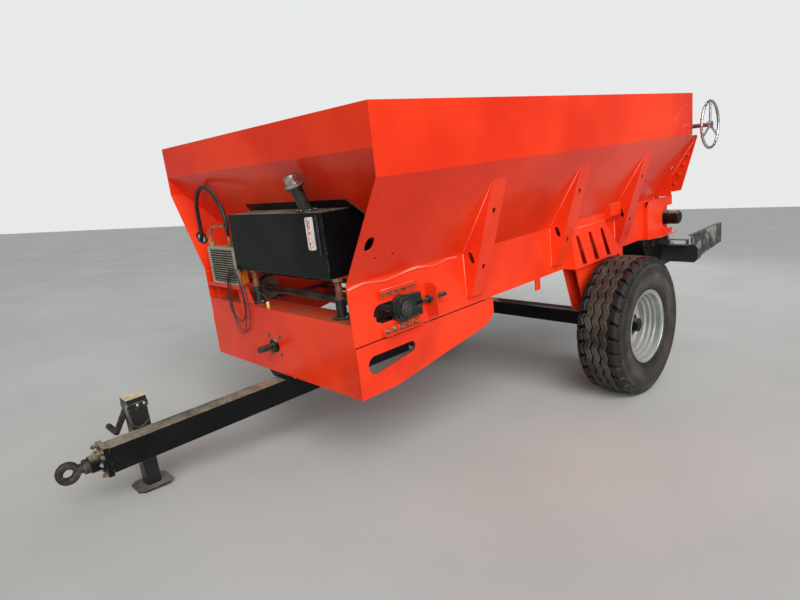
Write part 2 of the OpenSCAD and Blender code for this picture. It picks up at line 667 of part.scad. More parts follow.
// Rim: flange, seat and steps down to the well, then the deep dish with its hand holes
rim_t = 6;
well_r = rim_r - 58;
rim_path = [
  [rim_r, bead + 8], [rim_r - 3, bead + 3], [seat_r, bead - 4], [seat_r, 85], [seat_r - 14, 80], [seat_r - 14, 60],
  [seat_r - 28, 52], [seat_r - 28, 30], [well_r, 22], [well_r, -30], [seat_r - 28, -38], [seat_r - 28, -60],
  [seat_r, -75], [seat_r, -bead + 4], [rim_r - 3, -bead - 3], [rim_r, -bead - 8]
];
hub_hole_r = 80;
hand_holes = 8;
dish = [[well_r - rim_t, -12], [150, -30], [hub_hole_r, -30], [hub_hole_r, -40], [154, -40], [well_r - rim_t, -24]];
module rim() translate([-axle_back, tyre_mid, -axle_deep]) rotate([-90, 0, 0]) difference() {
  union() {
    rotate_extrude($fn = 96) folded(rim_path, -rim_t);
    rotate_extrude($fn = 96) polygon(dish);
  }
  for (i = [0:hand_holes - 1]) rotate(i * 360 / hand_holes) translate([148, 0, -60]) cylinder(h = 60, r = 15);
}
// Hub: flange behind the dish, squarish body with its stud ring, and the cap
module hub() translate([-axle_back, tyre_mid, -axle_deep]) rotate([-90, 0, 0]) difference() {
  union() {
    translate([0, 0, -112]) cylinder(h = 62, r = 58);
    translate([0, 0, -50]) cylinder(h = 10 - run, r = 118);
    translate([0, 0, -40 - run]) cylinder(h = 75, r = 62);
    intersection() {
      translate([-66, -66, -20]) cube([132, 132, 40]);
      translate([0, 0, -20]) cylinder(h = 40, r = 78);
    }
    translate([0, 0, 30]) cylinder(h = 40, r = 45);
    translate([0, 0, 70]) cylinder(h = 8, r = 30);
  }
  translate([0, 0, -113]) cylinder(h = 138, r = stub_r + 0.05);
}
module tyre_left() color("#2b2724") parked() tyre();
module rim_left() color("silver") parked() rim();
module hub_left() color(black) parked() hub();
module tyre_right() color("#2b2724") parked() mirror([0, 1, 0]) tyre();
module rim_right() color("silver") parked() mirror([0, 1, 0]) rim();
module hub_right() color(black) parked() mirror([0, 1, 0]) hub();

// Drawbar: hollow box bar with its end flange, the packing channel under the apron, and
// the saddle that hangs its tail from the cross beam
end_t = 25;
module drawbar() color(black) parked() {
  along_x(tail_x - 80, bar_front - end_t) difference() {
    translate([-bar_wide / 2, -bar_top_deep - bar_high]) square([bar_wide, bar_high]);
    translate([-bar_wide / 2 + 8, -bar_top_deep - bar_high + 8]) square([bar_wide - 16, bar_high - 16]);
  }
  difference() {
    box([bar_front - end_t, -bar_wide / 2 - 10, -bar_top_deep - bar_high - 8], [bar_front, bar_wide / 2 + 10, -bar_top_deep + 10]);
    translate([0, 0, -bar_mid_deep]) rod_x(bar_front - end_t - cut, bar_front + cut, 32);
  }
  along_x(-apron_box, 0) polygon([
    [-115, -apron_deep], [115, -apron_deep], [bar_wide / 2 + 22, -bar_top_deep], [-bar_wide / 2 - 22, -bar_top_deep]]);
  along_x(tail_x - 80, tail_x) difference() {
    translate([-90, -bar_top_deep]) square([180, bar_top_deep - beam_foot_deep]);
    translate([-70, -bar_top_deep + 10]) square([140, bar_top_deep - beam_foot_deep - 20]);
  }
}
// Flanged housing of the swivel eye
shank_r = 22;
module eye_housing() color("#2a2320") parked() translate([bar_front, 0, -bar_mid_deep]) difference() {
  union() {
    along_x(0, 14) bar_2d([-26, 0], [26, 0], 42, 42);
    rod_x(14, 54, 40);
  }
  rod_x(-5, 60, shank_r + 0.05);
}
eye_half = 18;
eye_section = [
  [eye_hole_r, -eye_half + 4], [eye_hole_r, eye_half - 4], [eye_hole_r + 5, eye_half], [eye_r - 8, eye_half],
  [eye_r, eye_half - 8], [eye_r, -eye_half + 8], [eye_r - 8, -eye_half], [eye_hole_r + 5, -eye_half]
];
module tow_eye() color(bare) parked() translate([0, 0, -bar_mid_deep]) {
  translate([eye_x, 0, 0]) rotate([90, 0, 0]) rotate_extrude($fn = 64) polygon(eye_section);
  difference() {
    union() {
      rod_x(bar_front - end_t + 4, eye_x - eye_hole_r - 8, shank_r);
      rod_x(bar_front + 56, bar_front + 78, 33);
      rod_x(bar_front - end_t + 4, bar_front - cut, 30);
    }
    translate([eye_x, 0, 0]) rod_y(-30, 30, eye_hole_r + 2);
  }
}

// Jack beside the drawbar: square tube with its cap, leg with its foot, and the crank
jack_y = -bar_wide / 2 - jack_side / 2;
jack_wall = 8;
jack_top = 1195;
jack_foot_deep = 1445;
foot_front = 85;
foot_deep = axle_deep - ((jack_ahead + foot_front + axle_back) * sin(nose_down) - tyre_r) / cos(nose_down);
module square_tube(side, t) difference() {
  square(side, center = true);
  square(side - 2 * t, center = true);
}
module jack_tube() color(black) parked() translate([jack_ahead, jack_y, 0]) {
  along_z(-jack_foot_deep, -jack_top) square_tube(jack_side, jack_wall);
  box([-jack_side / 2 - 4, -jack_side / 2 - 4, -jack_top], [jack_side / 2 + 4, jack_side / 2, -jack_top + 23]);
}
leg_side = jack_side - 2 * jack_wall - 0.8;
module jack_leg() color(black) parked() translate([jack_ahead, jack_y, 0]) {
  along_z(-foot_deep + 8, -1380) square_tube(leg_side, 5);
  along_z(-foot_deep, -foot_deep + 8) polygon([
    [foot_front, -50], [foot_front, 50], [foot_front - 25, 75], [-foot_front + 25, 75], [-foot_front, 50], [-foot_front, -50],
    [-foot_front + 25, -75], [foot_front - 25, -75]]);
}
crank_at = [5, -1215];
crank_end = [88, -1345];
module jack_crank() color(bare) parked() translate([jack_ahead, jack_y - jack_side / 2, 0]) {
  translate([crank_at[0], 0, crank_at[1]]) rod_y(-34, 0, 12);
  along_y(-34, -22) bar_2d(crank_at, crank_end, 16, 13);
  translate([crank_end[0], 0, crank_end[1]]) rod_y(-150, -34, 9);
  translate([crank_end[0], 0, crank_end[1]]) rod_y(-148, -40, 15);
}

// Oil tank on the sloping front wall, with the flange plate behind it
tank_y = [-282, 600];
tank_deep = [417, 723];
module oil_tank() color(black) parked() {
  along_y(tank_y[0], tank_y[1])
    polygon([[0, -tank_deep[0]], [front_x(tank_deep[0]) + run, -tank_deep[0]], [front_x(tank_deep[1]) + run, -tank_deep[1]], [0, -tank_deep[1]]]);
  intersection() {
    along_y(tank_y[0] - 60, tank_y[1] + 100)
      polygon([for (q = [[376, 0], [376, 8], [760, 8], [760, 0]]) [front_x(q[0]) + run + q[1], -q[0]]]);
    along_x(-front_run, 0)
      polygon([[tank_y[0] - 48, -376], [tank_y[1], -376], [tank_y[1] + 76, -470], [tank_y[1] + 60, -745], [tank_y[0] - 48, -745]]);
  }
}
module level_gauge() color("white") parked() translate([0, 510, 0]) {
  box([0, -15, -588], [9, 15, -570]);
  box([0, -15, -454], [9, 15, -436]);
  along_z(-570, -454) translate([10, 0]) circle(9);
}
// Filler neck on its flange, leaning forward, with the plate and the two-tier cap
filler_at = [-55, 412];
filler_lean = 20.7;
module filler() color(black) parked() difference() {
  translate([filler_at[0], filler_at[1], -tank_deep[0]]) {
    cylinder(h = 8, r = 50);
    rotate([0, filler_lean, 0]) {
      translate([0, 0, -20]) cylinder(h = 150, r = 30);
      translate([0, 0, 128]) cylinder(h = 9, r = 48);
      translate([0, 0, 137]) cylinder(h = 14, r = 44);
      translate([0, 0, 151]) cylinder(h = 34, r = 34);
      translate([0, 0, 185]) cylinder(h = 6, r = 26);
    }
  }
  translate([filler_at[0] - 100, filler_at[1] - 60, -tank_deep[0] - 60]) cube([200, 120, 60]);
}
// Posts under the tank: hexagonal collar, pipe, sleeve and round foot
post_x = -70;
module tank_posts() color(black) parked() for (y = [tank_y[1] - 45, tank_y[0] + 60])
  translate([post_x, y, 0]) {
    along_z(-ledge_deep, -ledge_deep + 8) circle(46);
    along_z(-ledge_deep + 8, -ledge_deep + 95) circle(25);
    along_z(-ledge_deep + 95, -tank_deep[1] - 24) circle(17);
    along_z(-tank_deep[1] - 24, -tank_deep[1]) circle(27, $fn = 6);
  }

// Oil cooler: frame with its louvres and end tanks, and the tapered shroud behind
cooler_y = [-615, -298];
cooler_z = [-822, -602];
cooler_deep = 46;
louvres = 14;
module oil_cooler() color("silver") parked() {
  difference() {
    box([-cooler_deep, cooler_y[0], cooler_z[0]], [0, cooler_y[1], cooler_z[1]]);
    box([-12, cooler_y[0] + 16, cooler_z[0] + 12], [cut, cooler_y[1] - 16, cooler_z[1] - 12]);
  }
  pitch = (cooler_z[1] - cooler_z[0] - 24) / louvres;
  for (i = [0:louvres - 1])
    along_y(cooler_y[0] + 16, cooler_y[1] - 16)
      polygon([for (q = [[-12, 3], [-12, 6], [-1, 12], [-1, 9]]) [q[0], cooler_z[0] + 12 + i * pitch + q[1]]]);
}
module cooler_shroud() color("orange") parked()
  along_z(cooler_z[0] + 4, cooler_z[1] - 8)
    polygon([[-cooler_deep, cooler_y[0] + 6], [-cooler_deep, cooler_y[1] - 4], [-cooler_deep - 22, cooler_y[1] - 4],
             [-cooler_deep - 64, cooler_y[1] - 60], [-cooler_deep - 64, cooler_y[0] + 62], [-cooler_deep - 22, cooler_y[0] + 6]]);
module cooler_stand() color(paint) parked() {
  along_y(cooler_y[0] - 80, cooler_y[1] + 8)
    folded([[-130, cooler_z[0]], [6, cooler_z[0]], [6, cooler_z[0] - 22]], -6);
  along_x(-22, -16) polygon([[-352, -ledge_deep], [-192, -ledge_deep], [-240, cooler_z[0] - 6], [-352, cooler_z[0] - 6]]);
  box([-130, -640, -ledge_deep], [-124, -300, cooler_z[0] - 6]);
  box([-124, -640, -ledge_deep], [-22, -634, cooler_z[0] - 6]);
}

// Round path through chosen points, and a tube along it
function smooth(p, n) = [
  for (i = [0:len(p) - 2], k = [0:n - 1])
    let (t = k / n, a = p[max(i - 1, 0)], b = p[i], c = p[i + 1], d = p[min(i + 2, len(p) - 1)])
      (2 * b + (c - a) * t + (2 * a - 5 * b + 4 * c - d) * t * t + (3 * b - a - 3 * c + d) * t * t * t) / 2,
  p[len(p) - 1]
];
module swept(path, r, sides) {
  n = len(path);
  rings = [
    for (i = [0:n - 1])
      let (t = unit(path[min(i + 1, n - 1)] - path[max(i - 1, 0)]), s = unit(cross(t, [0.9, 0.1, 0.3])), q = cross(s, t))
        for (k = [0:sides - 1]) path[i] + r * (cos(k * 360 / sides) * s + sin(k * 360 / sides) * q)
  ];
  faces = concat(
    [[for (k = [sides - 1:-1:0]) k]],
    [for (i = [0:n - 2], k = [0:sides - 1])
      [i * sides + k, i * sides + (k + 1) % sides, (i + 1) * sides + (k + 1) % sides, (i + 1) * sides + k]],
    [[for (k = [0:sides - 1]) (n - 1) * sides + k]]);
  polyhedron(rings, faces);
}
// Pipes on the cooler's ports: a bent one on the left, a short stub on the right that
// holds the hose, and the union on the far cheek where the hose ends
port_x = -22;
bent_y = cooler_y[0] + 25;
stub_y = cooler_y[1] - 64;
stub_end = -505;
bent_path = [
  [port_x, bent_y, cooler_z[1] + 40], [port_x, bent_y, cooler_z[1] + 62], [port_x, bent_y + 10, cooler_z[1] + 92],
  [port_x - 2, bent_y + 38, cooler_z[1] + 112], [port_x - 6, bent_y + 80, cooler_z[1] + 116], [port_x - 14, bent_y + 170, cooler_z[1] + 118]
];
union_long = 60;
union_hole = small_holes[1];
module cooler_pipes() color("tan") parked() {
  translate([port_x, bent_y, 0]) {
    along_z(cooler_z[1], cooler_z[1] + 16) circle(15);
    along_z(cooler_z[1] + 16, cooler_z[1] + 41) circle(17, $fn = 6);
  }
  swept(smooth(bent_path, 4), 10, 12);
  translate([port_x, stub_y, 0]) {
    along_z(cooler_z[1], cooler_z[1] + 18) circle(17, $fn = 6);
    along_z(cooler_z[1] + 18, stub_end) circle(10);
  }
  mirror([0, 1, 0]) on_slope(union_hole[0], union_hole[1]) {
    translate([0, 0, run]) cylinder(h = 30, r = 14, $fn = 6);
    translate([0, 0, 30]) cylinder(h = union_long - 30, r = 15);
    translate([0, 0, -12]) cylinder(h = 40, r = 7);
  }
}
// A point straight out from the union's hole in the far cheek
function far_slope(out) =
  [union_hole[0], -side_y(union_hole[1]) - out * cos(slope_angle), -union_hole[1] - out * sin(slope_angle)];
// Hose from the stub over the top, through the far cheek's oval hole and in a wide bend
// outside it back to the union
hose_r = 12;
hose_path = [
  [port_x, stub_y, stub_end + run], [port_x, stub_y, stub_end + 20], [port_x, stub_y - 2, -440], [-20, -392, -365], [-20, -470, -290],
  [-22, -567, -254], [-28, -665, -282], [-42, -746, -352], [-58, -790, -440], [-66, -808, -510],
  [cheek_hole[0], -side_y(cheek_hole[1]), -cheek_hole[1]], [-68, -859, -625], [-88, -883, -668], [-120, -896, -695],
  [-158, -899, -708], [-194, -889, -708], [-219, -872, -700], far_slope(union_long + 20),
  far_slope(union_long + 7), far_slope(union_long + run)
];
module hose_loop() color(black) parked() swept(smooth(hose_path, 3), hose_r, 12);

// Cable hank in front of the ledge, its lead, and the plug that stands on the ledge
cable_r = 2.5;
hank_at = [-310, -905];
hank_long = 400;
hank_half = 105;
hank_thick = 28;
// Outline of an upright loop with round ends
function long_loop(length, half) = [
  for (end = [1, -1], k = [0:12]) half * [end * cos(k * 15), end * sin(k * 15)] + [0, end * (length / 2 - half)]
];
module cable_hank() color(black) parked() along_x(6 + run, 6 + run + hank_thick) translate(hank_at) difference() {
  polygon(long_loop(hank_long, hank_half));
  polygon(long_loop(hank_long - 56, hank_half - 28));
}
lead_x = 6 + run + hank_thick - 4;
lead_y = hank_at[0] + hank_half + run;
plug_at = [-14, -30];
plug_long = 37;
plug_top = -ledge_deep + run + plug_long;
cable_path = [
  [lead_x, lead_y, -815], [lead_x, lead_y + 12, -815], [lead_x - 1, lead_y + 30, -816], [24, -146, -819], [14, -112, -826],
  [2, -78, -838], [-8, -52, -854], [-12.5, -37, -868],
  [plug_at[0], plug_at[1] - 1, plug_top + 11], [plug_at[0], plug_at[1], plug_top + 4.5], [plug_at[0], plug_at[1], plug_top + run]
];
module cable_lead() color(black) parked() swept(smooth(cable_path, 2), cable_r, 8);
module cable_plug() color("gold") parked() translate([plug_at[0], plug_at[1], 0]) {
  along_z(plug_top - plug_long, plug_top - 14) circle(9);
  along_z(plug_top - 14, plug_top) circle(7);
}

// Drive inlet: the housing behind the apron and the stub for the drive shaft
journal_r = 24;
stub_shaft_r = 17.5;
module pto_housing() color(black) parked() translate([0, 0, -pto_deep]) difference() {
  union() {
    rod_x(-plate_t - 10, -plate_t, 70);
    rod_x(-130, 12, boss_r);
  }
  rod_x(-140, 20, journal_r + 0.05);
}
module pto_stub() color("#6e6a60") parked() translate([0, 0, -pto_deep]) {
  rod_x(-110, 14, journal_r);
  rod_x(14, 102, stub_shaft_r);
}

// Spinner deck: side plates on the bearing plates' foot, rails, plate, motors and deflector
deck_top = side_deep + 219;
deck_x = [-hopper_len - 720, -hopper_len - 60];
disc_x = -hopper_len - 420;
disc_deep = deck_top - 49;
guard_top = side_deep + 95;
guard_x = -hopper_len - 100;
module spinner_deck() color(black) parked() {
  both_sides() {
    along_y(floor_half + 8, floor_half + 16)
      polygon([
        [-bracket_end + 20, -side_deep - 8], [-hopper_len + 220, -side_deep - 8], [-hopper_len + 220, -side_deep - 85],
        [-hopper_len + 140, -deck_top + 54], [deck_x[1], -deck_top - 40], [-bracket_end + 20, -deck_top - 40]]);
    // Rail of the deck, an angle with its flange inwards
    along_x(deck_x[0], deck_x[1])
      folded([[floor_half - 40, -deck_top - 8], [floor_half + 8, -deck_top - 8], [floor_half + 8, -deck_top - 58]], -6);
    translate([disc_x, disc_y, 0]) {
      along_z(-deck_top - 120, -deck_top - 18) circle(52);
      along_z(-deck_top - 18, -deck_top - 8) circle(72);
      along_z(-deck_top, -disc_deep - 42) circle(34);
      along_z(-deck_top, -disc_deep) circle(15);
    }
  }
  difference() {
    box([deck_x[0], -floor_half + 8, -deck_top - 8], [deck_x[1], floor_half - 8, -deck_top]);
    translate([deck_x[1] - 100, 0, -deck_top - 9]) along_z(0, 10) slot_2d(90, 30);
  }
  along_y(-floor_half - 8, floor_half + 8)
    folded([[deck_x[1] + 30, -side_deep - 60], [deck_x[1], -guard_top], [deck_x[1], -deck_top]], -6);
}
// Guards: plates square to the machine, boxes on them, and the side flaps
guard_y = [floor_half + 16, 1005];
flap_y = 950;
module spinner_guards() color(black) parked() both_sides() {
  along_x(guard_x - 6, guard_x)
    polygon([
      [guard_y[0], -guard_top], [flap_y + 30, -guard_top], [guard_y[1], -guard_top - 25], [guard_y[1], -deck_top + 9],
      [flap_y + 30, -deck_top - 16], [guard_y[0], -deck_top - 16]]);
  along_x(guard_x, guard_x + 54) translate([floor_half + 80, -guard_top]) difference() {
    square([150, 46]);
    translate([4, 4]) square([142, 38]);
  }
  along_y(flap_y, flap_y + 6) polygon([
    [guard_x - 6, -flap_top_deep], [rear_end, -flap_top_deep], [rear_end, -flap_foot_deep], [rear_end + 400, -deck_top + 7],
    [rear_end + 487, -deck_top - 19], [guard_x - 6, -deck_top - 19]]);
  along_y(flap_y - 22, flap_y) translate([rear_end, -flap_top_deep - 4]) square([-rear_end + guard_x - 6, 4]);
}
// Spinner discs: plate, hub and angled vanes with a folded top
vane_turn = 12;
module disc() translate([disc_x, disc_y, -disc_deep]) {
  difference() {
    union() {
      cylinder(h = 6, r = disc_r);
      translate([0, 0, -40]) cylinder(h = 40, r = 30);
      translate([0, 0, 6]) cylinder(h = 8, r = 60);
    }
    translate([0, 0, -41]) cylinder(h = 45, r = 15.05);
  }
  for (i = [0:vane_count - 1]) rotate(i * 360 / vane_count) translate([80, 0, 0]) rotate(vane_turn)
    along_x(0, disc_r - 105) folded([[0, 5], [0, 52], [-26, 52]], 4);
}
module disc_left() color("silver") parked() disc();
module disc_right() color("silver") parked() mirror([0, 1, 0]) disc();

hopper_side_left();
hopper_side_right();
hopper_front();
hopper_rear();
hopper_floor();
ribs_left();
ribs_right();
front_apron();
chassis_side_left();
chassis_side_right();
cross_members();
rear_frame();
gate();
gate_shaft();
handwheel();
conveyor();
front_roller();
rear_roller();
take_ups();
drive_motor();
drive_bearing();
axle_beam();
tyre_left();
rim_left();
hub_left();
tyre_right();
rim_right();
hub_right();
drawbar();
eye_housing();
tow_eye();
jack_tube();
jack_leg();
jack_crank();
oil_tank();
filler();
level_gauge();
tank_posts();
oil_cooler();
cooler_shroud();
cooler_stand();
cooler_pipes();
hose_loop();
cable_hank();
cable_lead();
cable_plug();
pto_housing();
pto_stub();
spinner_deck();
spinner_guards();
disc_left();
disc_right();
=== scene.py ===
import json
import math
import bpy
import numpy as np
from mathutils import Matrix


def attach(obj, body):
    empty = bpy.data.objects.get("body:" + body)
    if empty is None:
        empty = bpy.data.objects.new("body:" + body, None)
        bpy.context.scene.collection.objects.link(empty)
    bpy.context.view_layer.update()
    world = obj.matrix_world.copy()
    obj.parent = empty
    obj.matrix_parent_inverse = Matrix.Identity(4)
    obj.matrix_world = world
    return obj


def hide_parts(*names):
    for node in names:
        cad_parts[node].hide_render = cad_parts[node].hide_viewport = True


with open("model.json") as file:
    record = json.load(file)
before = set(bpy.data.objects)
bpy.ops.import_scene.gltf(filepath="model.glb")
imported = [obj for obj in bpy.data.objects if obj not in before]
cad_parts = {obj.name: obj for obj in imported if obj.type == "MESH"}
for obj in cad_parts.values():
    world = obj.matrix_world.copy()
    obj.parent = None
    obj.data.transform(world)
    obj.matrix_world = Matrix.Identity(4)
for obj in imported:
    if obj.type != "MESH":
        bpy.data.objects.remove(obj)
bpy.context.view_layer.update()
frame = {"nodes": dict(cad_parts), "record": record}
nodes = frame["nodes"]
print("frame loaded:", len(nodes), "nodes")

# The machine leans nose-down about its axle. Points below are written in the machine's own
# frame: x forward from the hopper's front top edge, y left, z up from the hopper's rim
stance = {"lean": 6.2, "axle": (-2.150, 0.0, -1.485), "middle": -0.805505, "tyreRadius": 0.467}
lean = math.radians(stance["lean"])
leanTurn = np.array([[math.cos(lean), 0, math.sin(lean)], [0, 1, 0], [-math.sin(lean), 0, math.cos(lean)]])
axlePoint = np.array(stance["axle"])
standPoint = np.array([stance["middle"], 0.0, stance["tyreRadius"]])


def parked(points):
    # turned by the lean about the axle, then set with the axle over the floor
    return (np.asarray(points, float) - axlePoint) @ leanTurn.T + standPoint


def sRgb(red, green, blue):
    # each channel c to ((c + 0.055) / 1.055) ^ 2.4, or c / 12.92 near black
    c = np.array([red, green, blue], float) / 255
    lin = np.where(c > 0.04045, ((c + 0.055) / 1.055) ** 2.4, c / 12.92)
    return (float(lin[0]), float(lin[1]), float(lin[2]), 1.0)


def addObject(name, data):
    made = bpy.data.objects.new(name, data)
    bpy.context.scene.collection.objects.link(made)
    return made


def placed(turn, at):
    # four-by-four matrix: the rotation's nine numbers beside the place
    matrix = np.eye(4)
    matrix[:3, :3], matrix[:3, 3] = turn, at
    return Matrix(matrix.tolist())


# the photograph's camera, its axes and place in the machine's own frame
cameraLook = {
    "right": (-0.72160869, 0.68303175, -0.11290941),
    "down": (0.24070365, 0.0946165, -0.96597592),
    "ahead": (-0.64910912, -0.72423432, -0.23268433),
    "shift": (-0.80635903, -0.84540423, 2.88819839),
    "lens": 26.02, "sensor": 36.0,
}


def makeCamera():
    rows = np.array([cameraLook["right"], cameraLook["down"], cameraLook["ahead"]])
    eye = -rows.T @ np.array(cameraLook["shift"])
    axes = leanTurn @ np.column_stack([rows[0], -rows[1], -rows[2]])
    data = bpy.data.cameras.new("photoCamera")
    data.sensor_width = cameraLook["sensor"]
    data.lens = cameraLook["lens"]
    data.clip_end = 200
    camera = addObject("photoCamera", data)
    camera.matrix_world = placed(axes, parked([eye])[0])
    bpy.context.scene.camera = camera


makeCamera()
print("camera set")


def makePiece(name, shape, finish, body="machine", smooth=True, attributes=None):
    # one mesh from a shape: its points, and a list of arrays of quads or triangles
    points, groups = shape
    mesh = bpy.data.meshes.new(name)
    mesh.from_pydata(parked(points).tolist(), [], [f for g in groups for f in g.tolist()])
    mesh.update()
    mesh.polygons.foreach_set("use_smooth", np.full(len(mesh.polygons), smooth))
    for key, values in (attributes or {}).items():
        mesh.attributes.new(key, "FLOAT", "POINT").data.foreach_set("value", np.asarray(values, np.float32))
    piece = addObject(name, mesh)
    mesh.materials.append(finish)
    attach(piece, body)
    return piece


def gridFaces(rows, cols, closeRows=False, closeCols=False):
    # quads between neighbours of a rows-by-cols grid, wrapped round where it is closed
    i = np.arange(rows if closeRows else rows - 1)[:, None]
    j = np.arange(cols if closeCols else cols - 1)[None, :]
    a, b = i * cols + j, i * cols + (j + 1) % cols
    c, d = (i + 1) % rows * cols + (j + 1) % cols, (i + 1) % rows * cols + j
    return np.stack([a, b, c, d], -1).reshape(-1, 4)


def smoothPath(points, steps):
    # Catmull-Rom: each span is half of (2b + (c-a)t + (2a-5b+4c-d)t^2 + (3b-a-3c+d)t^3)
    p = np.asarray(points, float)
    a, b = np.vstack([p[:1], p[:-2]]), p[:-1]
    c, d = p[1:], np.vstack([p[2:], p[-1:]])
    t = (np.arange(steps) / steps)[None, :, None]
    a, b, c, d = a[:, None], b[:, None], c[:, None], d[:, None]
    q = (2 * b + (c - a) * t + (2 * a - 5 * b + 4 * c - d) * t**2 + (3 * b - a - 3 * c + d) * t**3) / 2
    return np.vstack([q.reshape(-1, p.shape[1]), p[-1:]])


def distances(path):
    # from the path's start to each point: the sum of the steps between neighbours
    return np.append(0.0, np.cumsum(np.linalg.norm(np.diff(path, axis=0), axis=1)))


def pathLength(path):
    # the distance to its last point
    return float(distances(path)[-1])


def evenly(path, count):
    # that many points at equal distances along the path, with those distances
    along = distances(path)
    at = np.linspace(0.0, along[-1], count)
    return at, np.column_stack([np.interp(at, along, path[:, k]) for k in range(3)])


def tube(path, radius, sides=12, closed=False, lift=(0.9, 0.1, 0.3)):
    # point = path + radius * (cos a * s + sin a * q), with s and q square to the path's run
    p = np.asarray(path, float)
    run = np.roll(p, -1, 0) - np.roll(p, 1, 0) if closed else np.gradient(p, axis=0)
    run /= np.linalg.norm(run, axis=1, keepdims=True)
    s = np.cross(run, np.asarray(lift, float))
    s /= np.linalg.norm(s, axis=1, keepdims=True)
    q = np.cross(run, s)
    a = np.linspace(0, 2 * np.pi, sides, endpoint=False)
    r = np.broadcast_to(np.asarray(radius, float), (len(p),))[:, None, None]
    v = p[:, None] + r * (np.cos(a)[None, :, None] * s[:, None] + np.sin(a)[None, :, None] * q[:, None])
    faces = [gridFaces(len(p), sides, closed, True)[:, ::-1]]
    points = v.reshape(-1, 3)
    if not closed:
        n = len(points)
        points = np.vstack([points, p[:1], p[-1:]])
        k = np.arange(sides)
        faces.append(np.stack([np.full(sides, n), k, (k + 1) % sides], 1))
        last = (len(p) - 1) * sides
        faces.append(np.stack([np.full(sides, n + 1), last + (k + 1) % sides, last + k], 1))
    return points, faces


def lathe(profile, sides=24, closed=False, scale=1.0):
    # profile of (radius, height), times a scale, turned about z; ends on the axis close the form
    p = np.asarray(profile, float) * scale
    a = np.linspace(0, 2 * np.pi, sides, endpoint=False)
    x, y = p[:, :1] * np.cos(a), p[:, :1] * np.sin(a)
    v = np.stack([x, y, np.broadcast_to(p[:, 1:], x.shape)], -1).reshape(-1, 3)
    return v, [gridFaces(len(p), sides, closed, True)]


def turnTo(direction):
    # rotation whose z column is the direction
    z = np.asarray(direction, float)
    z = z / np.linalg.norm(z)
    side = np.array([1.0, 0, 0]) if abs(z[0]) < 0.9 else np.array([0, 1.0, 0])
    x = np.cross(side, z)
    x /= np.linalg.norm(x)
    return np.column_stack([x, np.cross(z, x), z])


def join(parts):
    # several (points, faces) put into one, with each part's face numbers moved on
    points, faces, start = [], [], 0
    for v, groups in parts:
        points.append(v)
        faces += [g + start for g in groups]
        start += len(v)
    return np.vstack(points), faces


def moved(shape, at):
    # every point plus the place
    return shape[0] + np.array(at), shape[1]


def copiesAt(shape, places, directions):
    # the same small shape at every place, its z turned to each direction
    v, faces = shape
    places = np.atleast_2d(np.asarray(places, float))
    directions = np.broadcast_to(np.atleast_2d(directions), places.shape)
    return join([(v @ turnTo(way).T + at, faces) for at, way in zip(places, directions)])


def slab(low, high, edge=0.0015):
    # a block with its edges eased: eight corners, each split into three
    low, high = np.minimum(low, high).astype(float), np.maximum(low, high).astype(float)
    mid, half = (low + high) / 2, (high - low) / 2
    e = min(edge, *(half * 0.45))
    u = np.array([-1.0, 1.0])
    sx, sy, sz = [g.ravel() for g in np.meshgrid(u, u, u, indexing="ij")]
    s = np.stack([sx, sy, sz], 1)
    v = np.stack([s * (half - e * (1 - np.eye(3)[k])) for k in range(3)], 1).reshape(-1, 3) + mid
    quads, tris = [], []
    for k in range(3):
        a, b = (k + 1) % 3, (k + 2) % 3
        for sign in (-1, 1):
            c = [i for i in range(8) if s[i, k] == sign]
            order = sorted(c, key=lambda i: math.atan2(s[i, b], s[i, a]))
            q = [i * 3 + k for i in order]
            quads.append(q if sign > 0 else q[::-1])
        for sa in (-1, 1):
            for sb in (-1, 1):
                c = [i for i in range(8) if s[i, a] == sa and s[i, b] == sb]
                lo, hi = sorted(c, key=lambda i: s[i, k])
                q = [lo * 3 + a, hi * 3 + a, hi * 3 + b, lo * 3 + b]
                quads.append(q if sa * sb > 0 else q[::-1])
    for i in range(8):
        t = [i * 3, i * 3 + 1, i * 3 + 2]
        tris.append(t if s[i].prod() > 0 else t[::-1])
    return v, [np.array(quads), np.array(tris)]


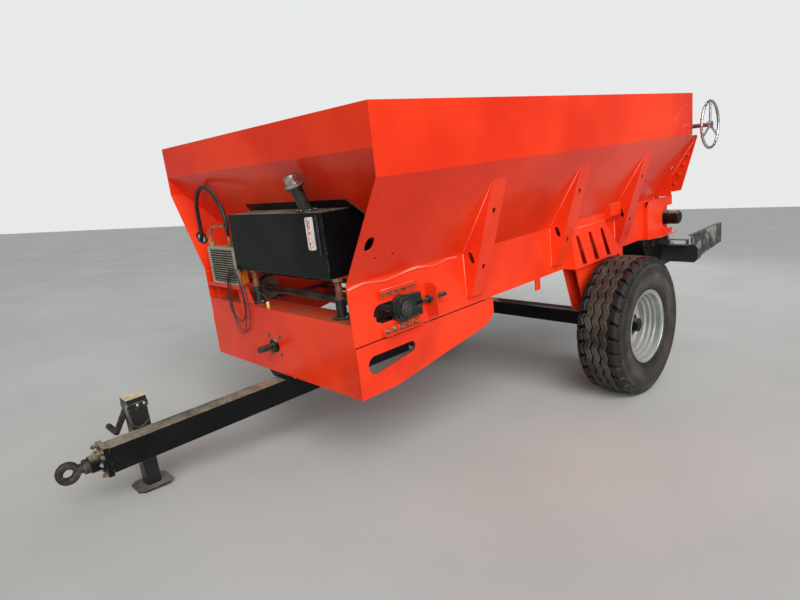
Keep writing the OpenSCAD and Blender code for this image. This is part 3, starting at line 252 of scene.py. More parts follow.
class Finish:
    # a material's node tree, with short calls that add nodes and join them
    def __init__(self, name, shader="ShaderNodeBsdfPrincipled"):
        self.material = bpy.data.materials.new(name)
        self.material.use_nodes = True
        self.tree = self.material.node_tree
        self.tree.nodes.clear()
        out = self.tree.nodes.new("ShaderNodeOutputMaterial")
        self.shader = self.tree.nodes.new(shader)
        self.tree.links.new(self.shader.outputs[0], out.inputs["Surface"])
        coords = self.add("ShaderNodeTexCoord")
        back = axlePoint - leanTurn.T @ standPoint
        level = {"Vector": coords.outputs["Object"], "Location": tuple(back), "Rotation": (0, -lean, 0)}
        self.place = self.add("ShaderNodeMapping", level).outputs[0]  # the machine's own frame
        self.x, self.y, self.z = self.split(self.place)
        geometry = self.add("ShaderNodeNewGeometry")
        self.normal = geometry.outputs["True Normal"]
        self.up = self.split(self.normal)[2]

    def put(self, socket, value):
        if isinstance(value, bpy.types.NodeSocket):
            self.tree.links.new(value, socket)
        elif value is not None:
            socket.default_value = value

    def add(self, kind, inputs=None, **settings):
        made = self.tree.nodes.new(kind)
        for key, value in settings.items():
            setattr(made, key, value)
        for key, value in (inputs or {}).items():
            self.put(made.inputs[key], value)
        return made

    def split(self, vector):
        return self.add("ShaderNodeSeparateXYZ", {0: vector}).outputs

    def math(self, operation, a, b=0.0, clamp=False):
        return self.add("ShaderNodeMath", {0: a, 1: b}, operation=operation, use_clamp=clamp).outputs[0]

    def times(self, a, b, clamp=False):
        return self.math("MULTIPLY", a, b, clamp)

    def plus(self, a, b, clamp=False):
        return self.math("ADD", a, b, clamp)

    def rise(self, value, low, high):
        # smooth step from 0 at low to 1 at high
        made = self.add("ShaderNodeMapRange", {0: value, 1: low, 2: high}, interpolation_type="SMOOTHSTEP")
        return made.outputs[0]

    def band(self, value, low, high, soft=0.004):
        # 1 between low and high, 0 outside
        return self.times(self.rise(value, low - soft, low), self.rise(value, high + soft, high))

    def mix(self, factor, a, b):
        made = self.add("ShaderNodeMix", data_type="RGBA")
        for index, value in ((0, factor), (6, a), (7, b)):
            self.put(made.inputs[index], value)
        return made.outputs[2]

    def stretched(self, scale, turn=(0, 0, 0)):
        return self.add("ShaderNodeMapping", {"Vector": self.place, "Scale": scale, "Rotation": turn}).outputs[0]

    def noise(self, scale, detail=4.0, rough=0.55, warp=0.0, vector=None):
        inputs = {"Vector": vector or self.place, "Scale": scale, "Detail": detail, "Roughness": rough,
                  "Distortion": warp}
        return self.add("ShaderNodeTexNoise", inputs).outputs[0]

    def spread(self, low, high, *noise):
        # patches where the noise is over the low value, full over the high one
        return self.rise(self.noise(*noise), low, high)

    def grain(self, strength, distance, *noise):
        return self.bump(self.noise(*noise), strength, distance)

    def tones(self, low, high, noise, dark, light):
        # from the dark colour to the light one in patches
        return self.mix(self.spread(low, high, *noise), sRgb(*dark), sRgb(*light))

    def over(self, mask, tone):
        # the colour so far turns to the tone where the mask is 1
        self.colour = self.mix(mask, self.colour, tone)

    def tint(self, mask, strength, tone):
        # the same by mask times strength
        self.over(self.times(mask, strength), tone if len(tone) > 3 else sRgb(*tone))

    def attribute(self, name):
        return self.add("ShaderNodeAttribute", attribute_name=name).outputs["Fac"]

    def edge(self, radius, low=0.02, high=0.25):
        # where the rounded normal leaves the flat one, the surface is near an edge
        bent = self.add("ShaderNodeBevel", {"Radius": radius}, samples=4).outputs[0]
        dot = self.add("ShaderNodeVectorMath", {0: bent, 1: self.normal}, operation="DOT_PRODUCT").outputs["Value"]
        return self.rise(self.math("SUBTRACT", 1.0, dot), low, high)

    def bump(self, height, strength=0.2, distance=0.002, under=None):
        inputs = {"Height": height, "Strength": strength, "Distance": distance, "Normal": under}
        return self.add("ShaderNodeBump", inputs).outputs[0]

    def done(self, rough, normal, **more):
        # shader sockets by name; underscores stand for spaces
        for key, value in {"Base_Color": self.colour, "Roughness": rough, "Normal": normal, **more}.items():
            self.put(self.shader.inputs[key.replace("_", " ")], value)
        return self.material


dustLook = {"brown": sRgb(132, 112, 94), "pale": sRgb(168, 156, 140), "thick": sRgb(122, 92, 70),
            "grey": sRgb(162, 152, 132)}


def dusted(f, rough, amount=0.85, low=0.45, high=0.92, dust=None, reach=None):
    # dust lies where the surface looks up, thinned by a patchy noise
    patch = f.spread(0.34, 0.6, 5, 8, 0.65)
    grain = f.spread(0.25, 0.65, 60, 5, 0.7)
    lying = f.times(f.rise(f.up, low, high), f.plus(f.times(patch, 0.5), f.times(grain, 0.45)))
    lying = f.times(lying, amount, clamp=True)
    if reach is not None:
        lying = f.times(lying, reach)
    f.over(lying, dust or dustLook["brown"])
    return f.plus(rough, f.times(lying, 0.55), clamp=True)


redLook = {
    "light": sRgb(240, 62, 26), "dark": sRgb(216, 44, 18), "chip": sRgb(150, 96, 78), "streak": sRgb(214, 104, 82),
    "grime": sRgb(104, 40, 26), "roughness": 0.24,
}


def redPaint():
    f = Finish("redPaint")
    tone = f.spread(0.3, 0.7, 1.3, 3)
    f.colour = f.mix(tone, redLook["dark"], redLook["light"])
    # feathered pale runs down the sloping sheets, in a few patches
    runs = f.rise(f.noise(7, 4, 0.6, 0, f.stretched((1, 1, 0.10))), 0.52, 0.72)
    patch = f.spread(0.52, 0.68, 0.9, 2)
    slope = f.band(f.z, -0.76, -0.28, 0.05)
    f.over(f.times(f.times(runs, patch), f.times(slope, 0.34)), redLook["streak"])
    # handling marks and fine scratches
    scratch = f.rise(f.noise(26, 2, 0.5, 0.6, f.stretched((1, 1, 6), (0.3, 0.5, 0.2))), 0.685, 0.72)
    scuffed = f.times(scratch, f.spread(0.5, 0.62, 1.7, 3))
    f.tint(scuffed, 0.4, redLook["streak"])
    # darker red towards the bottom, in patches, on the lower plates and inside the hopper
    low = f.times(f.rise(f.z, -0.88, -1.28), f.spread(0.42, 0.7, 3, 6))
    f.tint(low, 0.35, redLook["grime"])
    worn = f.times(f.edge(0.0035), f.spread(0.5, 0.62, 34, 6, 0.7))
    f.tint(worn, 0.7, redLook["chip"])
    rough = f.plus(f.times(f.noise(4, 5), 0.16), redLook["roughness"] - 0.06)
    rough = f.plus(rough, f.times(worn, 0.3))
    thin = f.mix(f.rise(f.z, -0.2, -0.7), dustLook["pale"], dustLook["thick"])
    rough = dusted(f, rough, 0.8, dust=thin)
    peel = f.grain(0.05, 0.001, 190, 2)
    waves = f.bump(f.noise(2.2, 2), 0.22, 0.012, peel)
    return f.done(rough, waves, Coat_Weight=0.12, Coat_Roughness=0.06, Specular_IOR_Level=0.18)


blackLook = {"light": sRgb(15, 16, 18), "dark": sRgb(7, 8, 10), "chip": sRgb(146, 138, 124), "roughness": 0.3}


def blackPaint(name="blackPaint", rough=None, dust=0.9, wear=0.8, thick=None):
    f = Finish(name)
    f.colour = f.mix(f.spread(0.3, 0.7, 3, 4), blackLook["dark"], blackLook["light"])
    film = f.times(f.spread(0.5, 0.75, 2.4, 7, 0.65), 0.05)
    f.over(film, dustLook["brown"])
    worn = f.times(f.edge(0.004), f.spread(0.49, 0.6, 48, 4, 0.65))
    f.tint(worn, wear, blackLook["chip"])
    level = f.plus(f.times(f.noise(6, 6), 0.2), (rough or blackLook["roughness"]) - 0.06)
    level = f.plus(level, film)
    level = dusted(f, level, dust, dust=thick or dustLook["grey"])
    peel = f.grain(0.06, 0.001, 170, 2)
    waves = f.bump(f.noise(2.6, 2), 0.15, 0.01, peel)
    return f.done(level, waves, Coat_Weight=0.1, Coat_Roughness=0.05, Specular_IOR_Level=0.12)


# each pair is where a change of colour begins and ends, in metres along one axis
edgeAt = {
    "jackCap": (-1.19, -1.175), "flap": (0.93, 0.945), "sleeveTop": (-0.834, -0.831),
    "collarFoot": (-0.7485, -0.7465),
    "nutTop": (-0.5585, -0.5605), "nutSide": (-0.56, -0.575), "hoseFoot": (-0.541, -0.539),
    "stubSide": (-0.376, -0.374),
    "farPipe": (-0.70, -0.71), "rodStart": (-0.4185, -0.4195), "rodUnder": (-1, -0.99), "stubUnder": (-1.16, -1.15),
    "coolerFront": (-0.013, -0.015), "neckEnd": (0.1365, 0.1375), "chainSide": (0.0135, 0.0125),
}


def jackPaint():
    # black like the drawbar, with the pale dusty top of the jack's cap
    f = Finish("jackPaint")
    f.colour = f.mix(f.spread(0.3, 0.7, 5, 4), blackLook["dark"], blackLook["light"])
    worn = f.times(f.edge(0.004), f.spread(0.46, 0.6, 60, 4, 0.65))
    f.over(worn, blackLook["chip"])
    top = f.times(f.rise(f.up, 0.6, 0.9), f.rise(f.z, *edgeAt["jackCap"]))
    pale = f.tones(0.35, 0.7, (40, 6), (222, 208, 172), (168, 150, 122))
    f.over(top, pale)
    level = f.plus(f.times(top, 0.35), 0.36)
    level = dusted(f, level, 0.6, dust=dustLook["grey"], reach=f.math("SUBTRACT", 1, top))
    return f.done(level, f.grain(0.08, 0.001, 150, 3))


def guardPaint():
    # thin dull black over sheet, rubbed pale in patches on both faces of the flaps
    f = Finish("guardPaint")
    f.colour = f.tones(0.3, 0.7, (4, 4), (26, 27, 30), (44, 44, 46))
    facing, aside = f.math("ABSOLUTE", f.split(f.normal)[1]), f.math("ABSOLUTE", f.y)
    flap = f.times(f.rise(facing, 0.6, 0.9), f.rise(aside, *edgeAt["flap"]))
    rubbed = f.times(flap, f.spread(0.47, 0.59, 9, 8, 0.7))
    f.tint(rubbed, 0.7, (150, 145, 138))
    drips = f.rise(f.noise(14, 4, 0.6, 0, f.stretched((1, 1, 0.12))), 0.56, 0.72)
    f.tint(drips, 0.3, (126, 112, 96))
    worn = f.times(f.edge(0.004), f.spread(0.47, 0.6, 40, 4))
    f.tint(worn, 0.7, (140, 120, 100))
    level = dusted(f, f.plus(f.times(rubbed, 0.2), 0.42), 0.8)
    return f.done(level, f.grain(0.08, 0.001, 120, 3))


def tyreRubber():
    f = Finish("tyreRubber")
    dust, depth = f.attribute("dust"), f.attribute("depth")
    black = f.tones(0.3, 0.7, (9, 5), (17, 16, 16), (28, 26, 25))
    film = f.times(dust, f.plus(f.times(f.spread(0.3, 0.66, 11, 8, 0.7), 0.42), 0.13))
    brown = f.tones(0.35, 0.65, (4, 6), (94, 82, 66), (128, 120, 108))
    f.colour = f.mix(film, black, brown)
    # painted shade: the grooves and notches darkened by their depth
    f.tint(depth, 0.85, (12, 12, 12))
    rough = f.plus(f.times(film, 0.5), 0.42)
    skin = f.plus(f.noise(260, 3), f.times(f.noise(40, 4), 1.5))
    return f.done(rough, f.bump(skin, 0.16, 0.0015), Specular_IOR_Level=0.25)


def rimPaint():
    f = Finish("rimPaint")
    f.colour = f.tones(0.3, 0.7, (3, 5), (150, 152, 148), (190, 192, 188))
    grime = f.spread(0.48, 0.72, 8, 8, 0.7)
    f.tint(grime, 0.4, (104, 100, 90))
    # painted highlight: a paler line along every edge of the rim
    edge = f.edge(0.004)
    f.tint(edge, 0.3, (214, 216, 210))
    level = f.plus(f.times(grime, 0.25), 0.3)
    level = dusted(f, level, 0.55, dust=dustLook["pale"])
    return f.done(level, f.bump(f.noise(3, 2), 0.15, 0.01, f.grain(0.08, 0.001, 140, 3)), Metallic=0.55)


def machinedSteel(name="machinedSteel", tone=(150, 150, 146), rust=0.25, level=0.34, metal=0.9):
    f = Finish(name)
    light, dark = sRgb(*tone), sRgb(*[int(t * 0.72) for t in tone])
    f.colour = f.mix(f.spread(0.3, 0.7, 6, 5), dark, light)
    spots = f.times(f.spread(0.52, 0.68, 18, 8, 0.7), rust)
    f.over(spots, sRgb(110, 66, 42))
    turned = f.noise(90, 2, 0.5, 0, f.stretched((8, 0.6, 8)))
    rough = f.plus(f.times(turned, 0.16), level)
    rough = f.plus(rough, f.times(spots, 0.6), clamp=True)
    rough = dusted(f, rough, 0.5)
    return f.done(rough, f.bump(turned, 0.1, 0.0008), Metallic=metal)


def rustyIron():
    # old forged iron: brown rust over dark scale, rubbed bare on its edges
    f = Finish("rustyIron")
    f.colour = f.tones(0.38, 0.62, (12, 8, 0.7), (38, 34, 32), (70, 58, 51))
    f.over(f.spread(0.52, 0.68, 45, 6, 0.7), sRgb(104, 82, 68))
    rubbed = f.times(f.edge(0.003), f.spread(0.44, 0.58, 30, 4))
    f.over(rubbed, sRgb(176, 168, 156))
    # shallow flutes along the drive stub
    stubDeep, flutes = 1.130, 6
    angle = f.math("ARCTAN2", f.plus(f.z, stubDeep), f.y)
    flute = f.times(f.math("SINE", f.times(angle, flutes)), f.band(f.x, 0.022, 0.099, 0.002))
    stub = f.times(flute, f.rise(f.z, *edgeAt["stubUnder"]))
    pits = f.grain(0.35, 0.0015, 80, 6, 0.7)
    rough = f.plus(f.times(f.noise(20, 5), 0.3), 0.45)
    return f.done(rough, f.bump(stub, 0.8, 0.004, pits), Metallic=0.45)


def chrome():
    f = Finish("wheelChrome")
    f.colour = f.tones(0.35, 0.7, (7, 5), (176, 178, 180), (214, 215, 216))
    spots = f.spread(0.6, 0.68, 60, 6, 0.75)
    f.tint(spots, 0.5, (104, 90, 78))
    film = f.times(f.noise(14, 6), 0.22)
    rough = dusted(f, f.plus(film, 0.10), 0.35, dust=dustLook["pale"])
    return f.done(rough, f.grain(0.04, 0.001, 120, 2), Metallic=1)


def chainSteel():
    # dusty steel; the chains at the sides show their links every 50 mm
    f = Finish("chainSteel")
    f.colour = f.tones(0.36, 0.64, (9, 7, 0.7), (58, 50, 46), (112, 86, 68))
    aside = f.math("ABSOLUTE", f.math("SUBTRACT", f.math("ABSOLUTE", f.y), 0.52))
    linksPerMetre = 20
    link = f.math("FRACT", f.times(f.x, linksPerMetre))
    gap = f.times(f.band(link, 0.42, 0.58, 0.04), f.rise(aside, *edgeAt["chainSide"]))
    f.tint(gap, 0.8, (18, 16, 15))
    rough = dusted(f, 0.55, 0.7)
    return f.done(rough, f.bump(f.math("SUBTRACT", f.noise(70, 5), gap), 0.4, 0.002), Metallic=0.5)


def coolerAluminium():
    f = Finish("coolerAluminium")
    f.colour = f.tones(0.3, 0.7, (10, 5), (150, 142, 128), (186, 178, 162))
    face = f.times(f.band(f.y, -0.600, -0.313, 0.001), f.band(f.z, -0.811, -0.613, 0.001))
    slot = f.times(f.band(f.x, -0.03, -0.0075, 0.001), face)
    f.tint(slot, 0.85, (44, 40, 36))
    flank = f.times(f.rise(f.split(f.normal)[1], 0.6, 0.9), f.rise(f.x, *edgeAt["coolerFront"]))
    f.over(flank, f.mix(f.noise(20, 4), sRgb(206, 104, 22), sRgb(232, 138, 40)))
    rough = dusted(f, 0.46, 0.6)
    return f.done(rough, f.grain(0.12, 0.001, 150, 4), Metallic=0.35)


def gaugePlastic():
    f = Finish("gaugePlastic")
    tubeArea = f.band(f.z, -0.571, -0.453, 0.001)
    red = f.tones(0.4, 0.6, (70, 4), (190, 60, 44), (228, 214, 204))
    f.colour = f.mix(tubeArea, f.tones(0.3, 0.7, (30, 4), (176, 176, 170), (206, 206, 200)), red)
    rough = f.plus(f.times(f.noise(25, 4), 0.2), 0.2)
    return f.done(rough, f.grain(0.06, 0.001, 90, 3), Coat_Weight=0.3)


def plainPlastic(name, dark, light, level, dust=0.5, grain=120, strength=0.12):
    f = Finish(name)
    f.colour = f.mix(f.spread(0.3, 0.7, 8, 5), sRgb(*dark), sRgb(*light))
    smear = f.spread(0.55, 0.72, 24, 7, 0.7)
    f.tint(smear, 0.3, dustLook["brown"])
    rough = dusted(f, f.plus(f.times(smear, 0.15), level), dust)
    return f.done(rough, f.bump(f.noise(grain, 4), strength, 0.001))


def greenIron():
    # dark green cast housing with chips and dusty hollows
    f = Finish("greenIron")
    f.colour = f.tones(0.35, 0.65, (11, 6), (12, 20, 19), (24, 38, 35))
    chip = f.spread(0.63, 0.67, 40, 6, 0.7)
    worn = f.plus(f.times(f.edge(0.003), f.spread(0.46, 0.6, 36, 4)), f.times(chip, 0.7), clamp=True)
    f.over(worn, sRgb(116, 116, 106))
    # the threaded rod and its nuts are black
    rod = f.times(f.rise(f.x, *edgeAt["rodStart"]), f.rise(f.z, *edgeAt["rodUnder"]))
    f.over(rod, f.mix(f.noise(30, 4), sRgb(20, 20, 22), sRgb(52, 48, 44)))
    radiansPerMetre = 2513
    thread = f.times(f.math("SINE", f.times(f.x, radiansPerMetre)), rod)
    rough = dusted(f, 0.42, 0.5)
    return f.done(rough, f.bump(thread, 0.5, 0.0012, f.grain(0.3, 0.002, 70, 6, 0.7)), Metallic=0.15)


def brassPipe():
    # brass nut, tan copper pipes, and the black hose end over the stub's top
    f = Finish("brassPipe")
    tan = f.tones(0.35, 0.65, (30, 6), (150, 96, 66), (190, 138, 102))
    brass = f.tones(0.3, 0.7, (40, 5), (150, 118, 62), (196, 170, 108))
    nut = f.times(f.rise(f.z, *edgeAt["nutTop"]), f.rise(f.y, *edgeAt["nutSide"]))
    f.colour = f.mix(nut, tan, brass)
    hoseEnd = f.times(f.rise(f.z, *edgeAt["hoseFoot"]), f.rise(f.y, *edgeAt["stubSide"]))
    black = f.plus(hoseEnd, f.rise(f.y, *edgeAt["farPipe"]), clamp=True)
    f.over(black, sRgb(28, 28, 30))
    rough = dusted(f, 0.36, 0.4)
    return f.done(rough, f.grain(0.15, 0.001, 90, 4), Metallic=0.6)


def postPaint():
    # black sleeve and foot, brown pipe and rusty hexagonal collar
    f = Finish("postPaint")
    black = f.tones(0.35, 0.65, (14, 5), (20, 20, 22), (44, 42, 42))
    brown = f.tones(0.35, 0.65, (26, 7, 0.7), (92, 52, 40), (150, 98, 74))
    f.colour = f.mix(f.rise(f.z, *edgeAt["sleeveTop"]), black, brown)
    collar = f.mix(f.noise(40, 5), sRgb(170, 96, 58), sRgb(206, 156, 110))
    f.over(f.rise(f.z, *edgeAt["collarFoot"]), collar)
    rough = dusted(f, 0.45, 0.8)
    return f.done(rough, f.grain(0.25, 0.001, 80, 6), Metallic=0.2)


fillerLook = {"foot": (-0.055, 0.412, -0.417), "tilt": math.radians(20.7), "plate": 0.128, "screws": 0.041}


def fillerPaint():
    # black neck and plate, and the two-tier chromed cap
    f = Finish("fillerPaint")
    # height along the neck: z cos tilt + x sin tilt, from the neck's foot
    x, y, z = fillerLook["foot"]
    along = f.plus(f.times(f.plus(f.z, -z), math.cos(fillerLook["tilt"])),
                   f.times(f.plus(f.x, -x), math.sin(fillerLook["tilt"])))
    cap = f.rise(along, *edgeAt["neckEnd"])
    black = f.tones(0.35, 0.65, (14, 5), (18, 18, 20), (42, 40, 40))
    metal = f.tones(0.4, 0.66, (34, 6, 0.7), (206, 204, 196), (150, 136, 118))
    f.colour = f.mix(cap, black, metal)
    rough = f.plus(0.34, f.times(cap, -0.14))
    rough = dusted(f, rough, 0.55)
    return f.done(rough, f.grain(0.1, 0.001, 90, 4), Metallic=f.times(cap, 0.95))


def boltBrass():
    f = Finish("boltBrass")
    f.colour = f.tones(0.35, 0.65, (60, 5), (126, 100, 70), (184, 162, 122))
    f.over(f.spread(0.58, 0.7, 150, 5), sRgb(96, 60, 40))
    rough = f.plus(f.times(f.noise(80, 4), 0.25), 0.25)
    return f.done(rough, f.grain(0.15, 0.0006, 220, 3), Metallic=0.85)


def weldRed():
    # beads painted over with the sheets, rippled, and paler on their crests as a painted highlight
    f = Finish("weldRed")
    f.colour = f.mix(f.attribute("crestHighlight"), redLook["light"], sRgb(250, 158, 138))
    return f.done(0.3, f.grain(0.3, 0.0012, 160, 4), Coat_Weight=0.3)


red, black = redPaint(), blackPaint()
steel = machinedSteel()
finishOf = {
    "red_paint": red, "black_paint": black, "tyre_rubber": tyreRubber(), "rim_paint": rimPaint(),
    "hub_paint": blackPaint("hubPaint", 0.34, 0.5, 0.35), "machined_steel": steel, "bare_steel": rustyIron(),
    "handwheel_chrome": chrome(), "chain_steel": chainSteel(),
    "disc_steel": machinedSteel("discSteel", (168, 168, 164), 0.2, 0.4, 0.8),
    "cooler_aluminium": coolerAluminium(), "gauge_plastic": gaugePlastic(),
    "plug_plastic": plainPlastic("plugPlastic", (196, 158, 52), (226, 192, 84), 0.4),
    "hose_rubber": plainPlastic("hoseRubber", (16, 16, 17), (30, 30, 31), 0.55, 0.35, 220, 0.2),
    "green_iron": greenIron(), "orange_plastic": plainPlastic("orangePlastic", (206, 104, 22), (232, 138, 40), 0.5),
    "brass_pipe": brassPipe(),
}
finishByNode = {
    "tank_posts": postPaint(), "filler": fillerPaint(), "jack_tube": jackPaint(), "jack_leg": jackPaint(),
    "spinner_guards": guardPaint(),
}
brass, weldFinish = boltBrass(), weldRed()
rubber, darkSteel = finishOf["hose_rubber"], machinedSteel("darkSteel", (84, 82, 80), 0.4, 0.42, 0.7)
paleSteel = machinedSteel("paleSteel", (196, 194, 186), 0.12, 0.34, 0.75)
for entry in frame["record"]["subparts"]:
    finish = finishByNode.get(entry["node"]) or finishOf[entry["material_slot"]]
    cad = nodes[entry["node"]]
    if cad.data.materials:
        for place in cad.material_slots:
            place.material = finish
    else:
        cad.data.materials.append(finish)
print("finishes given to the frame")


# below their upper band the hopper's sides slope inward, that far in over that depth
slopeLook = {"half": 1.0, "inward": 0.290, "deep": 0.457, "start": 0.288}
slopeTilt = math.atan2(slopeLook["inward"], slopeLook["deep"])
hoseLook = {
    "radius": 0.012, "unionOut": 0.060, "holeX": -0.236, "holeDeep": 0.640,
    "route": [
        (-0.022, -0.362, -0.5047), (-0.022, -0.362, -0.485), (-0.022, -0.364, -0.440), (-0.020, -0.392, -0.365),
        (-0.020, -0.470, -0.290), (-0.022, -0.567, -0.254), (-0.028, -0.665, -0.282), (-0.042, -0.746, -0.352),
        (-0.058, -0.790, -0.440), (-0.066, -0.808, -0.510), (-0.068, -0.82359, -0.566), (-0.068, -0.859, -0.625),
        (-0.088, -0.883, -0.668), (-0.120, -0.896, -0.695), (-0.158, -0.899, -0.708), (-0.194, -0.889, -0.708),
        (-0.219, -0.872, -0.700),
    ],
}


def slopeAt(deep):
    # half width of the hopper at a depth: its top half width less the slope's run past its start
    return slopeLook["half"] - slopeLook["inward"] * (deep - slopeLook["start"]) / slopeLook["deep"]


def farSlope(out):
    # a point straight out from the far cheek at the union's hole
    deep = hoseLook["holeDeep"]
    return (hoseLook["holeX"], -slopeAt(deep) - out * math.cos(slopeTilt), -deep - out * math.sin(slopeTilt))


def makeCord(name, path, radius, finish):
    # a round cord: a poly curve along the path with that bevel
    data = bpy.data.curves.new(name, "CURVE")
    data.dimensions = "3D"
    line = data.splines.new("POLY")
    line.points.add(len(path) - 1)
    line.points.foreach_set("co", np.hstack([path, np.ones((len(path), 1))]).ravel())
    data.bevel_depth = radius
    data.bevel_resolution = 4
    data.use_fill_caps = True
    line.use_smooth = True
    piece = addObject(name, data)
    data.materials.append(finish)
    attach(piece, "machine")
    return piece


farEnd = [farSlope(hoseLook["unionOut"] + out) for out in (0.020, 0.007, 0.0003)]
hosePath = parked(smoothPath(hoseLook["route"] + farEnd, 6))
hose = makeCord("coolerHose", hosePath, hoseLook["radius"], rubber)
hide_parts("hose_loop")

cableLook = {
    "radius": 0.00225, "turned": (0.95, 2 * np.pi * 4.62 - 4.6), "middle": -0.310, "top": -0.7125, "back": 0.0098,
    "front": 0.0303,
    "gland": (-0.012, -0.262, -0.723), "leadY": -0.2047,
}


def eased(path, step, passes):
    # even steps along the path, then each inner point moves to a quarter, a half and a quarter
    # of its neighbour, itself and its other neighbour
    at, p = evenly(path, int(pathLength(path) / step) + 1)
    for i in range(passes):
        p[1:-1] = (p[:-2] + 2 * p[1:-1] + p[2:]) / 4
    return p


def cablePath():
    # turns of a hanging hank: y = middle + w sin a * (narrow at the top), z = top - h (1 - cos a),
    # each turn a little in front of the last one and a little wider or longer
    a = np.linspace(*cableLook["turned"], 300)
    turn = a / (2 * np.pi)
    width = 0.104 + 0.018 * np.sin(turn * 4.1 + 0.6)
    height = 0.174 + 0.021 * np.sin(turn * 2.7 + 1.1)
    shift = 0.004 * np.sin(turn * 5.3)
    y = cableLook["middle"] + shift + width * np.sin(a) * (0.66 + 0.34 * (1 - np.cos(a)) / 2)
    z = cableLook["top"] - height * (1 - np.cos(a))
    x = np.interp(a, [a[0], a[-1]], [cableLook["back"], cableLook["front"]])
    loops = np.column_stack([x, y, z])
    gx, gy, gz = cableLook["gland"]
    head = smoothPath([(gx, gy, gz - 0.018), (gx, gy, gz - 0.030), (gx + 0.006, gy, gz - 0.046), loops[0]], 5)[:-1]
    f, leadY = cableLook["front"], cableLook["leadY"]
    tail = smoothPath([
        loops[-1], (f, -0.262, -0.752), (f, -0.232, -0.796), (f, leadY, -0.815), (f, leadY + 0.012, -0.815),
        (f - 0.001, -0.1747, -0.816), (0.024, -0.146, -0.819), (0.014, -0.112, -0.826), (0.002, -0.078, -0.838),
        (-0.008, -0.052, -0.854), (-0.0125, -0.037, -0.868), (-0.014, -0.031, -0.8787), (-0.014, -0.030, -0.8852),
        (-0.014, -0.030, -0.8894),
    ], 5)[1:]
    return parked(eased(np.vstack([head, loops, tail]), 0.005, 4))


plugLook = {"foot": (-0.014, -0.030, -0.9267), "collar": (-0.014, -0.030, -0.9267 + 0.0255)}


def plugShape():
    # moulded plug standing on the ledge: ribbed yellow body and a pale collar
    ribs = [
        (0, 0), (0.0086, 0), (0.0088, 0.001), (0.0088, 0.004), (0.0080, 0.005), (0.0088, 0.006), (0.0088, 0.010),
        (0.0080, 0.011), (0.0088, 0.012), (0.0088, 0.021), (0.0070, 0.023), (0.0068, 0.0355), (0.0040, 0.0368),
        (0, 0.0368),
    ]
    return moved(lathe(ribs, 24), plugLook["foot"])


plug = makePiece("cablePlugBody", plugShape(), finishOf["plug_plastic"])
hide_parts("cable_plug")
ring = lathe([(0.0071, 0), (0.0076, 0.0005), (0.0076, 0.0075), (0.0071, 0.008), (0.0067, 0.004)], 24, True)
pale = plainPlastic("collarPlastic", (204, 200, 186), (230, 228, 216), 0.45, 0.3)
collar = makePiece("cablePlugCollar", moved(ring, plugLook["collar"]), pale)
cableRoute = cablePath()
sheath = plainPlastic("cableSheath", (24, 23, 22), (48, 45, 42), 0.5, 0.5, 300, 0.15)
cable = makeCord("lampCable", cableRoute, cableLook["radius"], sheath)
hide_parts("cable_hank", "cable_lead")
gland = lathe([(0, -0.018), (0.0038, -0.018), (0.0065, -0.013), (0.0065, -0.008), (0.010, -0.006), (0.010, 0),
               (0, 0)], 18)
makePiece("cableGland", moved(gland, cableLook["gland"]), rubber)


def cableHolder():
    # bent wire hook under the tank's edge that the turns hang on, and the tie round them
    hook = smoothPath([(-0.004, -0.300, -0.7235), (-0.002, -0.300, -0.7275), (0.006, -0.302, -0.7265),
                       (0.036, -0.304, -0.7245), (0.041, -0.304, -0.718), (0.041, -0.304, -0.708)], 5)
    makePiece("cableHook", tube(hook, 0.0026, 10), darkSteel)
    a = np.linspace(0, 2 * np.pi, 40, endpoint=False)
    ring = np.column_stack([0.0203 + 0.0165 * np.cos(a), -0.307 + 0.047 * np.sin(a), np.full(40, -0.762)])
    makePiece("cableTie", tube(ring, 0.0022, 8, True, (0, 0, 1)), rubber)


cableHolder()
print("hose and cable laid")


# tyres: section by arc length from the crown, zigzag grooves, shoulder lugs and notches
tyreLook = {
    "radius": 0.467, "middleY": 0.9475, "periods": 30, "steps": 26, "zigzag": 0.0098,
    "grooves": (-0.080, -0.027, 0.027, 0.080), "grooveDeep": 0.013, "notchDeep": 0.0185, "lugEnd": 0.172,
    "beadRadius": 0.2283, "bead": 0.118, "grooveHalf": 0.0074,
    "wall": 0.0018, "fadeEnd": 0.112, "fade": 0.024,
    "section": [
        (0.0, 0.467), (0.112, 0.4625), (0.1275, 0.4535), (0.1405, 0.4355), (0.1500, 0.4070), (0.1570, 0.3740),
        (0.1552, 0.3360), (0.1450, 0.2765), (0.1300, 0.2560), (0.1235, 0.2470), (0.1160, 0.2330),
    ],
    "rings": ((0.183, -0.0022), (0.199, 0.002), (0.232, 0.0022), (0.296, -0.002), (0.309, 0.0024)),
    "dustAt": (0.172, 0.183, 0.19, 0.225, 0.24, 0.30, 0.325), "dust": (0.15, 0.7, 0.3, 0.35, 0.8, 0.6, 0.3),
}


def ramp(value, width):
    # 0 at zero, rising to 1 over the width
    return np.clip(value / width, 0, 1)


